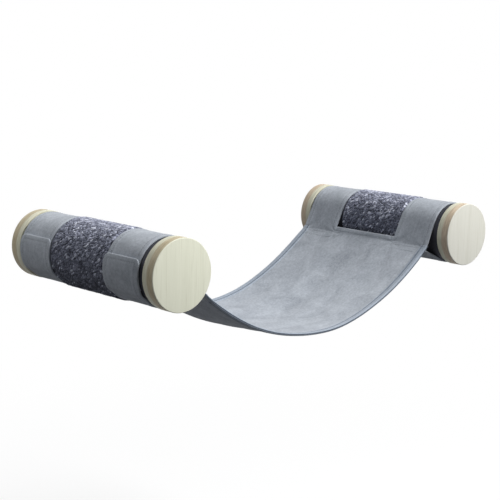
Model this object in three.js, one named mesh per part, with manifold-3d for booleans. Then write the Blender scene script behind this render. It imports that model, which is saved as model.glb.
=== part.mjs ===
// Wall mounted cat hammock: two rollers stand out of the wall, and a grey fabric sling
// hangs between them. Each roller is a board tube with a scratching pad of pile carpet
// round its middle, clamped between two wooden discs by a rod on its axis. The sling
// goes over each roller with two tabs. A strap under each tab passes below the roller
// and ends in a flap, which closes on the tab's outer face with hook and loop tape.
//
// Millimetres. +X runs along the wall to the right, +Y into the wall and +Z up. The
// origin is on the wall plane, midway between the rollers, at the height of their axes.

import * as THREE from "three";
import { mergeVertices } from "three/addons/utils/BufferGeometryUtils.js";
import Module from "manifold-3d";

const solidTools = await Module();
solidTools.setup();

// ---------------------------------------------------------------- driving dimensions

const ROLLER_SPACING = 600; // between the axes of the two rollers
const ROLLER_DEPTH = 330; // from the wall to the front face
const FIT_GAP = 0.3; // clearance between pieces that seat on each other

// board tube, and the carpet pad round its middle
const TUBE_R = 47;
const TUBE_WALL = 5.5;
const PAD_T = 4.5;
const PAD_EDGE = 1.2; // chamfer of the pile at both ends of the pad
const PAD_SIDE_GAP = 1.5; // between the pad and the straps beside it

// wooden discs
const DISC_PROUD = 3; // the discs stand out this far beyond the tube, all round
const DISC_T = 22;
const DISC_CHAMFER = 1.2;

// sling
const FABRIC_T = 2;
const LAYER_GAP = 0.25; // between fabric and what it lies on
const SLING_REAR_GAP = 3; // from the wall disc to the sling's rear edge
const SLING_FRONT_GAP = 7; // from the sling's front edge to the front disc
const STRAP_W = 75;
const TAB_STEP = 5; // a tab is this much narrower than the strap below it
const HEM_W = 10;
const HEM_EXTRA_T = 0.7; // the folded hem is this much thicker, on its upper face
const HEM_RISE_W = 0.3; // over this width the hem rises to its thickness
const SLING_SAG = 97; // lowest line, below the straight line between the strap seams
const SLING_DIP = 10; // the middle of the width hangs this much lower than the hems
const SEAM_STANDOFF = 16.5; // strap seam, sideways from the tube
const LEFT_SEAM_DROP = 36; // strap seam, below the axis
const RIGHT_SEAM_DROP = 19.5;
const SEAM_LAP = 16; // the strap is sewn under the sling over this length
const NOTCH_UP = 10; // the free edge between two tabs lies this far above the seam

// angles round a roller, in degrees: 0 points to the other roller, 90 up, 180 outwards
const FLAP_END_DEG = 155;
const FLAP_PAST_TAB_DEG = 14; // from the tab's end down to the flap's root line
const STRAP_CLIMB_DEG = 16; // over this turn the strap climbs from the tube to the tab
const FLAP_ROOT_GAP = 0.4;
const FLAP_CORNER_R = 9;

// hook and loop tape
const TAPE_T = 0.5;
const TAPE_HEM_GAP = 2.5; // between a tape and the hem beside it
const HOOK_TAPE_DEG = 38;
const HOOK_END_MARGIN_DEG = 6; // between the flap's end and its hook tape
const LOOP_OVERLAP_DEG = 2; // the loop tape reaches past the hook tape at both ends
const TAB_END_MARGIN_DEG = 5; // between the loop tape and the tab's end

// clamping rod and its flanged nuts
const ROD_R = 4;
const ROD_CHAMFER = 0.8;
const ROD_REAR_SETBACK = 5; // the rod ends this far inside the rear nut
const ROD_INTO_DISC = 8; // the rod's front end reaches this far into the front disc
const NUT_WALL = 1.3;
const NUT_BARREL_L = 14;
const NUT_FLANGE_RIM = 5.4;
const NUT_FLANGE_T = 1.6;

// hubs in the tube's ends
const REAR_HUB_T = 32;
const FRONT_HUB_T = 24;

// screws that hold the rear hub and the wall disc on the wall, and their wall plugs
const WALL_SCREWS = 2;
const WALL_SCREW = { shankR: 2.5, headR: 5, headT: 3.2, tip: 5 };
const WALL_SCREW_BORE_GAP = 0.4;
const WALL_SCREW_PAST_PLUG = 2;
const HEAD_BORE_GAP = 0.9;
const HEAD_BORE_DEPTH = 12;
const PLUG_WALL = 1.2;
const PLUG_L = 30;
const PLUG_COLLAR_RIM = 1.2;
const PLUG_COLLAR_T = 1.2;

// screws that join the front hub to the front disc
const DISC_SCREWS = 2;
const DISC_SCREW = { shankR: 2, headR: 3.9, headT: 2.4, tip: 4 };
const DISC_SCREW_BITE = 12; // length in the front disc

// facets
const ROUND_SIDES = 60;
const SMALL_SIDES = 14;
const ARC_STEP_DEG = 7.5;
const SAG_STEPS = 24;
const DIP_ROWS = 6;
const CORNER_STEPS = 3;

// ---------------------------------------------------------------- derived places

const HALF_SPACING = ROLLER_SPACING / 2;
const DISC_R = TUBE_R + DISC_PROUD;
const DISC_REAR_Y = -(ROLLER_DEPTH - DISC_T); // rear face of the front disc
const TUBE_REAR_Y = -(DISC_T + FIT_GAP);
const TUBE_FRONT_Y = DISC_REAR_Y + FIT_GAP;
const TUBE_BORE_R = TUBE_R - TUBE_WALL;
const HUB_R = TUBE_BORE_R - FIT_GAP;

const SLING_REAR_Y = -(DISC_T + SLING_REAR_GAP);
const SLING_FRONT_Y = DISC_REAR_Y + SLING_FRONT_GAP;
const SLING_MID_Y = (SLING_REAR_Y + SLING_FRONT_Y) / 2;
const SLING_HALF_W = (SLING_REAR_Y - SLING_FRONT_Y) / 2;
const TAB_W = STRAP_W - TAB_STEP;
const TAPE_SIDE_MARGIN = HEM_W + TAPE_HEM_GAP;

const TAB_MID_R = TUBE_R + LAYER_GAP + FABRIC_T / 2;
const LOOP_MID_R = TAB_MID_R + FABRIC_T / 2 + LAYER_GAP + TAPE_T / 2;
const HOOK_MID_R = LOOP_MID_R + TAPE_T + LAYER_GAP;
const FLAP_MID_R = HOOK_MID_R + TAPE_T / 2 + LAYER_GAP + FABRIC_T / 2;

const HOOK_FROM_DEG = FLAP_END_DEG + HOOK_END_MARGIN_DEG;
const HOOK_TO_DEG = HOOK_FROM_DEG + HOOK_TAPE_DEG;
const LOOP_FROM_DEG = HOOK_FROM_DEG - LOOP_OVERLAP_DEG;
const LOOP_TO_DEG = HOOK_TO_DEG + LOOP_OVERLAP_DEG;
const TAB_END_DEG = LOOP_TO_DEG + TAB_END_MARGIN_DEG;
const FLAP_ROOT_DEG = TAB_END_DEG + FLAP_PAST_TAB_DEG;

const SEAM_IN = TUBE_R + SEAM_STANDOFF; // strap seam, inwards from the roller's axis
const SEAM_X = HALF_SPACING - SEAM_IN;
const DIP_X = SEAM_X - SEAM_LAP; // the dip begins where the sewn lap ends

const SIDES = [
  { name: "left", inward: 1, seamDrop: LEFT_SEAM_DROP },
  { name: "right", inward: -1, seamDrop: RIGHT_SEAM_DROP },
];
const ENDS = [
  { name: "rear", strapY: SLING_REAR_Y },
  { name: "front", strapY: SLING_FRONT_Y + STRAP_W },
];

// ---------------------------------------------------------------- materials

const material = (color, roughness, metalness = 0) =>
  new THREE.MeshStandardMaterial({ color, roughness, metalness });
const paleWood = () => material(0xd9d6bd, 0.6);
const plywood = () => material(0xb99f78, 0.7);
const darkBoard = () => material(0x1c1c20, 0.85);
const carpet = () => material(0x45465a, 1);
const greyFabric = () => material(0x8a9098, 0.95);
const greyTape = () => material(0x5c6066, 0.9);
const zincSteel = () => material(0xb8babd, 0.35, 1);
const greyNylon = () => material(0xa9adb0, 0.55);

// ---------------------------------------------------------------- helpers

const radians = THREE.MathUtils.degToRad;
const degrees = THREE.MathUtils.radToDeg;

function named(name, geometry, finish) {
  const mesh = new THREE.Mesh(geometry, finish);
  mesh.name = name;
  return mesh;
}

function toSolid(geometry) {
  const bare = geometry.clone();
  bare.deleteAttribute("normal");
  bare.deleteAttribute("uv");
  const merged = mergeVertices(bare, 1e-4);
  return new solidTools.Manifold(
    new solidTools.Mesh({
      numProp: 3,
      vertProperties: new Float32Array(merged.attributes.position.array),
      triVerts: new Uint32Array(merged.index.array),
    }),
  );
}

function toGeometry(solid) {
  const mesh = solid.getMesh();
  const geometry = new THREE.BufferGeometry();
  const position = new THREE.BufferAttribute(mesh.vertProperties, 3);
  geometry.setAttribute("position", position);
  geometry.setIndex(new THREE.BufferAttribute(mesh.triVerts, 1));
  return geometry;
}

function drilled(body, bores) {
  let solid = toSolid(body);
  for (const bore of bores) solid = solid.subtract(toSolid(bore));
  return toGeometry(solid);
}

// A solid of revolution about the Y axis. The corners are [radius, y], with y rising
// along the outer side, so that the faces point outwards.
function turned(corners, sides = ROUND_SIDES) {
  const points = corners.map(([r, y]) => new THREE.Vector2(r, y));
  return new THREE.LatheGeometry(points, sides);
}

function bar(radius, frontY, backY, sides = SMALL_SIDES) {
  const corners = [
    [0, frontY],
    [radius, frontY],
    [radius, backY],
    [0, backY],
  ];
  return turned(corners, sides);
}

// A drill for a hole that goes right through between two faces.
function throughBore(radius, frontY, backY) {
  return bar(radius, frontY - 1, backY + 1);
}

// The same shape set evenly on a circle between the nuts' flanges and the tube, the
// first one at the top.
function onScrewCircle(count, makeOne) {
  const circleR = (NUT_FLANGE_R + HUB_R) / 2;
  return Array.from({ length: count }, (_, i) => {
    const angle = Math.PI / 2 + (2 * Math.PI * i) / count;
    const [x, z] = [circleR * Math.cos(angle), circleR * Math.sin(angle)];
    return makeOne().translate(x, 0, z);
  });
}

// ---------------------------------------------------------------- discs and tube

function discBlank(frontY) {
  const backY = frontY + DISC_T;
  return turned([
    [0, frontY],
    [DISC_R - DISC_CHAMFER, frontY],
    [DISC_R, frontY + DISC_CHAMFER],
    [DISC_R, backY - DISC_CHAMFER],
    [DISC_R - DISC_CHAMFER, backY],
    [0, backY],
  ]);
}

function wallDisc() {
  const bores = onScrewCircle(WALL_SCREWS, () =>
    throughBore(WALL_SCREW_BORE_R, -DISC_T, 0),
  );
  return drilled(discBlank(-DISC_T), bores);
}

// The front disc hides the rod's end and holds the two screws from the hub behind it.
function frontDisc() {
  const rodSocket = bar(ROD_R + FIT_GAP, ROD_FRONT_Y - FIT_GAP, DISC_REAR_Y + 1);
  const pilotR = DISC_SCREW.shankR + FIT_GAP;
  const pilotBores = onScrewCircle(DISC_SCREWS, () =>
    bar(pilotR, DISC_SCREW_TIP_Y - FIT_GAP, DISC_REAR_Y + 1),
  );
  return drilled(discBlank(-ROLLER_DEPTH), [rodSocket, ...pilotBores]);
}

function boardTube() {
  return turned([
    [TUBE_BORE_R, TUBE_FRONT_Y],
    [TUBE_R, TUBE_FRONT_Y],
    [TUBE_R, TUBE_REAR_Y],
    [TUBE_BORE_R, TUBE_REAR_Y],
    [TUBE_BORE_R, TUBE_FRONT_Y],
  ]);
}

// The pad covers the tube's middle, between the straps of the sling.
function carpetPad() {
  const innerR = TUBE_R + FIT_GAP;
  const outerR = innerR + PAD_T;
  const frontY = SLING_FRONT_Y + STRAP_W + PAD_SIDE_GAP;
  const rearY = SLING_REAR_Y - STRAP_W - PAD_SIDE_GAP;
  return turned([
    [innerR, frontY],
    [outerR - PAD_EDGE, frontY],
    [outerR, frontY + PAD_EDGE],
    [outerR, rearY - PAD_EDGE],
    [outerR - PAD_EDGE, rearY],
    [innerR, rearY],
    [innerR, frontY],
  ]);
}

// ---------------------------------------------------------------- hubs and fasteners

// The rear hub fills the tube's rear end and takes the nut that the rod screws into.
const REAR_HUB = { frontY: TUBE_REAR_Y - REAR_HUB_T, backY: TUBE_REAR_Y };
// The front hub fills the front end, and turns on to the rod with the front disc.
const FRONT_HUB = { frontY: TUBE_FRONT_Y, backY: TUBE_FRONT_Y + FRONT_HUB_T };

const NUT_BORE_R = ROD_R + FIT_GAP;
const NUT_BARREL_R = NUT_BORE_R + NUT_WALL;
const NUT_FLANGE_R = NUT_BARREL_R + NUT_FLANGE_RIM;
const ROD_REAR_Y = REAR_HUB.backY - ROD_REAR_SETBACK;
const ROD_FRONT_Y = DISC_REAR_Y - ROD_INTO_DISC;

const WALL_SCREW_BORE_R = WALL_SCREW.shankR + WALL_SCREW_BORE_GAP;
const WALL_SCREW_SEAT_Y = REAR_HUB.frontY + HEAD_BORE_DEPTH;
const WALL_SCREW_TOP_Y = WALL_SCREW_SEAT_Y - FIT_GAP - WALL_SCREW.headT;
const WALL_SCREW_TIP_Y = PLUG_L + WALL_SCREW_PAST_PLUG;
const DISC_SCREW_TOP_Y = FRONT_HUB.backY + FIT_GAP + DISC_SCREW.headT;
const DISC_SCREW_TIP_Y = DISC_REAR_Y - DISC_SCREW_BITE;

// Bores for a flanged nut: the barrel's goes right through, the flange's is a recess.
function nutBores(hub, recessFrontY, recessBackY) {
  return [
    throughBore(NUT_BARREL_R + FIT_GAP, hub.frontY, hub.backY),
    bar(NUT_FLANGE_R + FIT_GAP, recessFrontY, recessBackY),
  ];
}

function rearHub() {
  const { frontY, backY } = REAR_HUB;
  const recess = [backY - NUT_FLANGE_T - FIT_GAP, backY + 1];
  const headBoreR = WALL_SCREW.headR + HEAD_BORE_GAP;
  return drilled(bar(HUB_R, frontY, backY, ROUND_SIDES), [
    ...nutBores(REAR_HUB, ...recess),
    ...onScrewCircle(WALL_SCREWS, () =>
      throughBore(WALL_SCREW_BORE_R, frontY, backY),
    ),
    ...onScrewCircle(WALL_SCREWS, () =>
      bar(headBoreR, frontY - 1, WALL_SCREW_SEAT_Y),
    ),
  ]);
}

function frontHub() {
  const { frontY, backY } = FRONT_HUB;
  const recess = [frontY - 1, frontY + NUT_FLANGE_T + FIT_GAP];
  return drilled(bar(HUB_R, frontY, backY, ROUND_SIDES), [
    ...nutBores(FRONT_HUB, ...recess),
    ...onScrewCircle(DISC_SCREWS, () =>
      throughBore(DISC_SCREW.shankR + FIT_GAP, frontY, backY),
    ),
  ]);
}

// A flanged nut: its flange starts at flangeY, and the barrel runs on along dir.
function flangedNut(flangeY, dir) {
  const shoulderY = flangeY + dir * NUT_FLANGE_T;
  const barrelY = shoulderY + dir * NUT_BARREL_L;
  const corners = [
    [NUT_BORE_R, flangeY],
    [NUT_FLANGE_R, flangeY],
    [NUT_FLANGE_R, shoulderY],
    [NUT_BARREL_R, shoulderY],
    [NUT_BARREL_R, barrelY],
    [NUT_BORE_R, barrelY],
    [NUT_BORE_R, flangeY],
  ];
  return turned(dir > 0 ? corners : corners.reverse(), SMALL_SIDES);
}

function clampRod() {
  return turned(
    [
      [0, ROD_FRONT_Y],
      [ROD_R - ROD_CHAMFER, ROD_FRONT_Y],
      [ROD_R, ROD_FRONT_Y + ROD_CHAMFER],
      [ROD_R, ROD_REAR_Y - ROD_CHAMFER],
      [ROD_R - ROD_CHAMFER, ROD_REAR_Y],
      [0, ROD_REAR_Y],
    ],
    SMALL_SIDES,
  );
}

// A pan head screw along Y, from the top of its head to its tip.
function panHeadScrew({ shankR, headR, headT, tip }, topY, tipY) {
  const length = Math.abs(tipY - topY);
  const dir = Math.sign(tipY - topY);
  const corners = [
    [0, 0],
    [headR * 0.6, 0],
    [headR, headT * 0.4],
    [headR, headT],
    [shankR, headT],
    [shankR, length - tip],
    [0, length],
  ].map(([r, along]) => [r, topY + dir * along]);
  return turned(dir > 0 ? corners : corners.reverse(), SMALL_SIDES);
}

// A wall plug: a thin collar in the wall's face, and a sleeve round the screw.
function wallPlug() {
  const boreR = WALL_SCREW.shankR + FIT_GAP;
  const outerR = boreR + PLUG_WALL;
  const collarR = outerR + PLUG_COLLAR_RIM;
  const collarY = FIT_GAP + PLUG_COLLAR_T;
  return turned(
    [
      [boreR, FIT_GAP],
      [collarR, FIT_GAP],
      [collarR, collarY],
      [outerR, collarY],
      [outerR, PLUG_L * 0.8],
      [outerR - PLUG_WALL / 2, PLUG_L],
      [boreR, PLUG_L],
      [boreR, FIT_GAP],
    ],
    SMALL_SIDES,
  );
}

function roller(side) {
  const group = new THREE.Group();
  group.position.x = -side.inward * HALF_SPACING;
  const add = (name, geometry, finish) =>
    group.add(named(`${side.name}_${name}`, geometry, finish));
  const addEach = (name, shapes, finish) =>
    shapes.forEach((shape, i) => add(`${name}_${i + 1}`, shape, finish()));

  add("wall_disc", wallDisc(), paleWood());
  add("rear_hub", rearHub(), plywood());
  add("rear_nut", flangedNut(REAR_HUB.backY, -1), zincSteel());
  add("clamp_rod", clampRod(), zincSteel());
  add("board_tube", boardTube(), darkBoard());
  add("carpet_pad", carpetPad(), carpet());
  add("front_hub", frontHub(), plywood());
  add("front_nut", flangedNut(FRONT_HUB.frontY, 1), zincSteel());
  add("front_disc", frontDisc(), paleWood());

  const wallScrew = () => panHeadScrew(WALL_SCREW, WALL_SCREW_TOP_Y, WALL_SCREW_TIP_Y);
  const discScrew = () => panHeadScrew(DISC_SCREW, DISC_SCREW_TOP_Y, DISC_SCREW_TIP_Y);
  addEach("wall_screw", onScrewCircle(WALL_SCREWS, wallScrew), zincSteel);
  addEach("wall_plug", onScrewCircle(WALL_SCREWS, wallPlug), greyNylon);
  addEach("disc_screw", onScrewCircle(DISC_SCREWS, discScrew), zincSteel);
  return group;
}

// ---------------------------------------------------------------- sheets of fabric

// A closed sheet over a net of stations and rows, with the rows running to the front.
// place(i, j, up) gives a corner of the upper or lower face, the upper one to the left
// of the stations' way, and has(i, j) says whether the net's cell is there.
function sheet(stations, rows, place, has = () => true) {
  const inNet = (i, j) => i >= 0 && j >= 0 && i < stations - 1 && j < rows - 1;
  const filled = (i, j) => inNet(i, j) && has(i, j);
  const position = [];
  for (let i = 0; i < stations; i += 1)
    for (let j = 0; j < rows; j += 1)
      for (const up of [false, true]) position.push(...place(i, j, up));

  const at = (i, j, up) => (i * rows + j) * 2 + (up ? 1 : 0);
  const index = [];
  const quad = (a, b, c, d) => index.push(a, b, c, a, c, d);
  const wall = ([i, j], [k, l]) =>
    quad(at(i, j, true), at(k, l, true), at(k, l, false), at(i, j, false));
  for (let i = 0; i < stations - 1; i += 1) {
    for (let j = 0; j < rows - 1; j += 1) {
      if (!filled(i, j)) continue;
      const ring = [[i, j], [i + 1, j], [i + 1, j + 1], [i, j + 1]];
      const neighbours = [[i, j - 1], [i + 1, j], [i, j + 1], [i - 1, j]];
      quad(...ring.map(([k, l]) => at(k, l, true)).reverse());
      quad(...ring.map(([k, l]) => at(k, l, false)));
      neighbours.forEach(([k, l], n) => {
        if (!filled(k, l)) wall(ring[n], ring[(n + 1) % 4]);
      });
    }
  }
  const geometry = new THREE.BufferGeometry();
  geometry.setAttribute("position", new THREE.Float32BufferAttribute(position, 3));
  geometry.setIndex(index);
  return geometry;
}

// A line of [x, z] points, with the direction square to it at each one.
function withNormals(points) {
  const line = points.map(([x, z]) => new THREE.Vector2(x, z));
  return line.map((point, i) => {
    const into = point.clone().sub(line[Math.max(i - 1, 0)]).normalize();
    const out = line[Math.min(i + 1, line.length - 1)].clone().sub(point).normalize();
    const along = into.clone().add(out).normalize();
    const mitre = Math.max(into.dot(along), out.dot(along));
    const normal = new THREE.Vector2(-along.y, along.x).divideScalar(mitre);
    return { point, normal };
  });
}

const steps = (from, to, count) =>
  Array.from({ length: count + 1 }, (_, i) => from + ((to - from) * i) / count);

const arcAngles = (fromDeg, toDeg) =>
  steps(fromDeg, toDeg, Math.ceil(Math.abs(toDeg - fromDeg) / ARC_STEP_DEG));

// A place round a roller, and in the mirrored frame of the right one.
function roundRoller(side, radius, deg) {
  const inwards = radius * Math.cos(radians(deg)) - HALF_SPACING;
  return [side.inward * inwards, radius * Math.sin(radians(deg))];
}

// The sling touches a roller at two tangent points, seen from its strap seam.
function tangents(side) {
  const seamDeg = degrees(Math.atan2(-side.seamDrop, SEAM_IN));
  const seamR = Math.hypot(SEAM_IN, side.seamDrop);
  const spreadDeg = degrees(Math.acos(TAB_MID_R / seamR));
  return { tabDeg: seamDeg + spreadDeg, strapDeg: seamDeg - spreadDeg + 360 };
}

// ---------------------------------------------------------------- sling panel

const [LEFT, RIGHT] = SIDES;
const seamPoint = (side) => [-side.inward * SEAM_X, -side.seamDrop];

// Height of the hems between the two seams: a parabola below the line that joins them.
function sagHeight(x) {
  const share = x / SEAM_X;
  const middle = (LEFT.seamDrop + RIGHT.seamDrop) / 2;
  const chord = -middle + (share * (LEFT.seamDrop - RIGHT.seamDrop)) / 2;
  return chord - SLING_SAG * (1 - share * share);
}

// How much lower than the hems the sheet hangs at a place.
function dip(x, y) {
  const alongX = Math.max(0, 1 - (x / DIP_X) ** 2);
  const acrossY = 1 - ((y - SLING_MID_Y) / SLING_HALF_W) ** 2;
  return SLING_DIP * alongX * acrossY;
}

// The tab's line from its end over the roller to just above the seam.
function tabPoints(side) {
  const { tabDeg } = tangents(side);
  const arc = arcAngles(TAB_END_DEG, tabDeg).map((deg) =>
    roundRoller(side, TAB_MID_R, deg),
  );
  const seam = new THREE.Vector2(...seamPoint(side));
  const leaves = new THREE.Vector2(...arc.at(-1));
  const notch = seam.clone().lerp(leaves, NOTCH_UP / seam.distanceTo(leaves));
  return [...arc, notch.toArray()];
}

// Rows across the width: hems, tabs and the free middle between them.
function panelRows() {
  const edge = [0, HEM_W, HEM_W + HEM_RISE_W, TAB_W];
  const rear = edge.map((inset) => SLING_REAR_Y - inset);
  const front = edge.map((inset) => SLING_FRONT_Y + inset).reverse();
  const middle = steps(rear.at(-1), front[0], DIP_ROWS).slice(1, -1);
  return [...rear, ...middle, ...front];
}

function slingPanel() {
  const leftTab = tabPoints(LEFT);
  const rightTab = tabPoints(RIGHT).reverse();
  const sag = steps(-SEAM_X, SEAM_X, SAG_STEPS).map((x) => [x, sagHeight(x)]);
  const line = withNormals([...leftTab, ...sag, ...rightTab]);
  const rows = panelRows();
  const firstBody = leftTab.length - 1;
  const lastBody = line.length - rightTab.length;
  const insetOf = (y) => SLING_HALF_W - Math.abs(y - SLING_MID_Y);
  const place = (i, j, up) => {
    const { point, normal } = line[i];
    const hem = up && insetOf(rows[j]) <= HEM_W + 1e-6 ? HEM_EXTRA_T : 0;
    const offset = up ? FABRIC_T / 2 + hem : -FABRIC_T / 2;
    const { x, y: z } = point.clone().addScaledVector(normal, offset);
    return [x, rows[j], z - dip(point.x, rows[j])];
  };
  const has = (i, j) => {
    const inTab = insetOf((rows[j] + rows[j + 1]) / 2) < TAB_W;
    return inTab || (i >= firstBody && i < lastBody);
  };
  return sheet(line.length, rows.length, place, has);
}

// ---------------------------------------------------------------- straps and flaps

// A plain band along a line on one side, from its rear edge to its front edge.
function band(side, line, rearY, frontY, thickness) {
  const stations = withNormals(side.inward > 0 ? line : [...line].reverse());
  const place = (i, j, up) => {
    const { point, normal } = stations[i];
    const offset = (up ? thickness : -thickness) / 2;
    const { x, y: z } = point.clone().addScaledVector(normal, offset);
    return [x, j === 0 ? rearY : frontY, z];
  };
  return sheet(stations.length, 2, place);
}

// The strap's radius: it lies on the tube below, and climbs to the flap's layer.
function strapRadius(deg) {
  const share = (FLAP_ROOT_DEG + STRAP_CLIMB_DEG - deg) / STRAP_CLIMB_DEG;
  const eased = THREE.MathUtils.smoothstep(share, 0, 1);
  return THREE.MathUtils.lerp(TAB_MID_R, FLAP_MID_R, eased);
}

const ROOT_HALF_GAP_DEG = degrees(FLAP_ROOT_GAP / 2 / FLAP_MID_R);

function strap(side, end) {
  const under = FABRIC_T + LAYER_GAP;
  const lap = [SEAM_LAP, SEAM_LAP / 2, FABRIC_T].map((inset) => {
    const x = -side.inward * (SEAM_X - inset);
    const slope = (sagHeight(x + 1) - sagHeight(x - 1)) / 2;
    const tilt = Math.atan(slope);
    return [x + under * Math.sin(tilt), sagHeight(x) - under * Math.cos(tilt)];
  });
  const rootDeg = FLAP_ROOT_DEG + ROOT_HALF_GAP_DEG;
  const wrap = arcAngles(tangents(side).strapDeg, rootDeg).map((deg) =>
    roundRoller(side, strapRadius(deg), deg),
  );
  const line = [...lap, ...wrap];
  return band(side, line, end.strapY, end.strapY - STRAP_W, FABRIC_T);
}

// Insets across the flap and how far its end stands back there: two rounded corners.
function flapCorners() {
  const quarter = steps(0, 90, CORNER_STEPS).map((deg) => ({
    across: FLAP_CORNER_R * (1 - Math.cos(radians(deg))),
    back: FLAP_CORNER_R * (1 - Math.sin(radians(deg))),
  }));
  const far = quarter.map(({ across, back }) => ({ across: STRAP_W - across, back }));
  return [...quarter, ...far.reverse()];
}

function flap(side, end) {
  const columns = flapCorners();
  const rootDeg = FLAP_ROOT_DEG - ROOT_HALF_GAP_DEG;
  const shares = steps(0, 1, arcAngles(rootDeg, FLAP_END_DEG).length - 1);
  if (side.inward < 0) shares.reverse();
  const place = (i, j, up) => {
    const endDeg = FLAP_END_DEG + degrees(columns[j].back / FLAP_MID_R);
    const deg = THREE.MathUtils.lerp(rootDeg, endDeg, shares[i]);
    const radius = FLAP_MID_R + (up ? FABRIC_T : -FABRIC_T) / 2;
    const [x, z] = roundRoller(side, radius, deg);
    return [x, end.strapY - columns[j].across, z];
  };
  return sheet(shares.length, columns.length, place);
}

function tape(side, end, radius, fromDeg, toDeg) {
  const line = arcAngles(toDeg, fromDeg).map((deg) => roundRoller(side, radius, deg));
  const rearY = end.strapY - TAPE_SIDE_MARGIN;
  const frontY = end.strapY - STRAP_W + TAPE_SIDE_MARGIN;
  return band(side, line, rearY, frontY, TAPE_T);
}

function sling() {
  const group = new THREE.Group();
  group.add(named("sling_panel", slingPanel(), greyFabric()));
  for (const side of SIDES) {
    for (const end of ENDS) {
      const add = (name, geometry, finish) =>
        group.add(named(`${side.name}_${end.name}_${name}`, geometry, finish));
      const loop = tape(side, end, LOOP_MID_R, LOOP_FROM_DEG, LOOP_TO_DEG);
      const hook = tape(side, end, HOOK_MID_R, HOOK_FROM_DEG, HOOK_TO_DEG);
      add("strap", strap(side, end), greyFabric());
      add("flap", flap(side, end), greyFabric());
      add("loop_tape", loop, greyTape());
      add("hook_tape", hook, greyTape());
    }
  }
  return group;
}

const hammock = new THREE.Group();
for (const side of SIDES) hammock.add(roller(side));
hammock.add(sling());

export default hammock;
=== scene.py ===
# %% [markdown]
# # A wall mounted cat hammock
#
# Two rollers stand out of the wall, and a grey sling hangs between them. This lesson
# dresses the measured model: it gives every surface its finish, and cuts, hems and
# hangs the cloth as a maker would. All lengths are in metres. +X runs along the wall,
# +Y into the wall and +Z up.

# %% The frame
import math

import bmesh
import bpy
import numpy as np
from mathutils import Matrix, Vector, noise


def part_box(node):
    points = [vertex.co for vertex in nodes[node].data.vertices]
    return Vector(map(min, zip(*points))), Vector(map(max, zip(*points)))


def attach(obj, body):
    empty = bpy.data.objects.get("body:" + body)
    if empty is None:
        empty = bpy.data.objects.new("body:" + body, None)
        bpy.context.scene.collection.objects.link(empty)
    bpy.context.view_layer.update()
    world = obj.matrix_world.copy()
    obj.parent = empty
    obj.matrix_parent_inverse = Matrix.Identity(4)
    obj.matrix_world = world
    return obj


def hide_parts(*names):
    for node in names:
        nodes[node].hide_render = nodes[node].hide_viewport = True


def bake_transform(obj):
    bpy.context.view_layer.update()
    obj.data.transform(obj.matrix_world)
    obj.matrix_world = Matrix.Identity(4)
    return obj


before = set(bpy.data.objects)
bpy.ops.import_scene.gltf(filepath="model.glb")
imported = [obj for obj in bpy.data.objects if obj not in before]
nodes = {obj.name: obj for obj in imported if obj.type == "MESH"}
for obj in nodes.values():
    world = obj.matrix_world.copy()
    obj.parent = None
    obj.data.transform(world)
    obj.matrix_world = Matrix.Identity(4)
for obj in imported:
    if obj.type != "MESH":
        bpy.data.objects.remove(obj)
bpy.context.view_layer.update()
MM = 0.001

# %% [markdown]
# ## Places taken from the frame
#
# Everything sits round the two roller axes. The measured pieces say where those are and
# how wide tubes and discs run, so these sizes aren't typed in again. On the left roller
# the way inwards is +X, on the right one it is -X, and INWARD holds that sign.

# %% Places
INWARD = {"left": 1, "right": -1}
ENDS = ("rear", "front")


def middle(node):
    low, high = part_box(node)
    return (low + high) / 2


def span(node):
    low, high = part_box(node)
    return high - low


AXIS_X = {side: middle(f"{side}_clamp_rod").x for side in INWARD}
TUBE_R = span("left_board_tube").z / 2
DISC_R = span("left_front_disc").z / 2
DISC_T = span("left_front_disc").y
TRIM = 1.5 * MM  # by the front disc the sling is cut this much shorter than its solid
SLING_FRONT_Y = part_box("sling_panel")[0].y + TRIM
SLING_REAR_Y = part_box("sling_panel")[1].y
SLING_W = SLING_REAR_Y - SLING_FRONT_Y
STRAP_W = span("left_front_strap").y
print("axes at", AXIS_X, "tube radius", round(TUBE_R, 4), "sling width", round(SLING_W, 4))

# %% [markdown]
# ## Camera
#
# The camera stands to the left of the hammock, a little above it, and looks along the
# sling at a good 40 degrees to the wall. Its place, heading and lens follow the
# photograph, which shows both discs as ellipses, so they fix the view well.

# %% Camera
CAMERA_AT = Vector((-1.3495, -1.5790, 0.3096))
CAMERA_YAW = math.radians(43.101)
CAMERA_PITCH = math.radians(-9.538)
CAMERA_ROLL = math.radians(1.275)
LENS_MM = 91.59
SENSOR_MM = 36

ahead = Vector((
    math.sin(CAMERA_YAW) * math.cos(CAMERA_PITCH),
    math.cos(CAMERA_YAW) * math.cos(CAMERA_PITCH),
    math.sin(CAMERA_PITCH),
))
level = Vector((math.cos(CAMERA_YAW), -math.sin(CAMERA_YAW), 0))
upright = level.cross(ahead)
right = level * math.cos(CAMERA_ROLL) + upright * math.sin(CAMERA_ROLL)
up = upright * math.cos(CAMERA_ROLL) - level * math.sin(CAMERA_ROLL)

bpy.ops.object.camera_add()
camera = bpy.context.object
camera.data.lens = LENS_MM
camera.data.sensor_width = SENSOR_MM
camera.matrix_world = Matrix((right, up, -ahead)).transposed().to_4x4()
camera.location = CAMERA_AT
bpy.context.scene.camera = camera
print("camera at", tuple(camera.location))

# %% [markdown]
# ## Small helpers for node materials
#
# A material here is a short list of nodes. `add` makes one node and feeds its sockets in
# the same line, each with a plain value or with another node's output. The helpers after
# it stand for the nodes that come back most, so a finish reads from its texture at the
# top to its shader at the bottom.

# %% Node helpers
FLOAT = "NodeSocketFloat"


def feed(tree, values, sockets):
    """Sets each named socket, or links it where the value is another node's output."""
    for key, value in values.items():
        if isinstance(value, bpy.types.NodeSocket):
            tree.links.new(value, sockets[key])
        else:
            sockets[key].default_value = value


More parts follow.
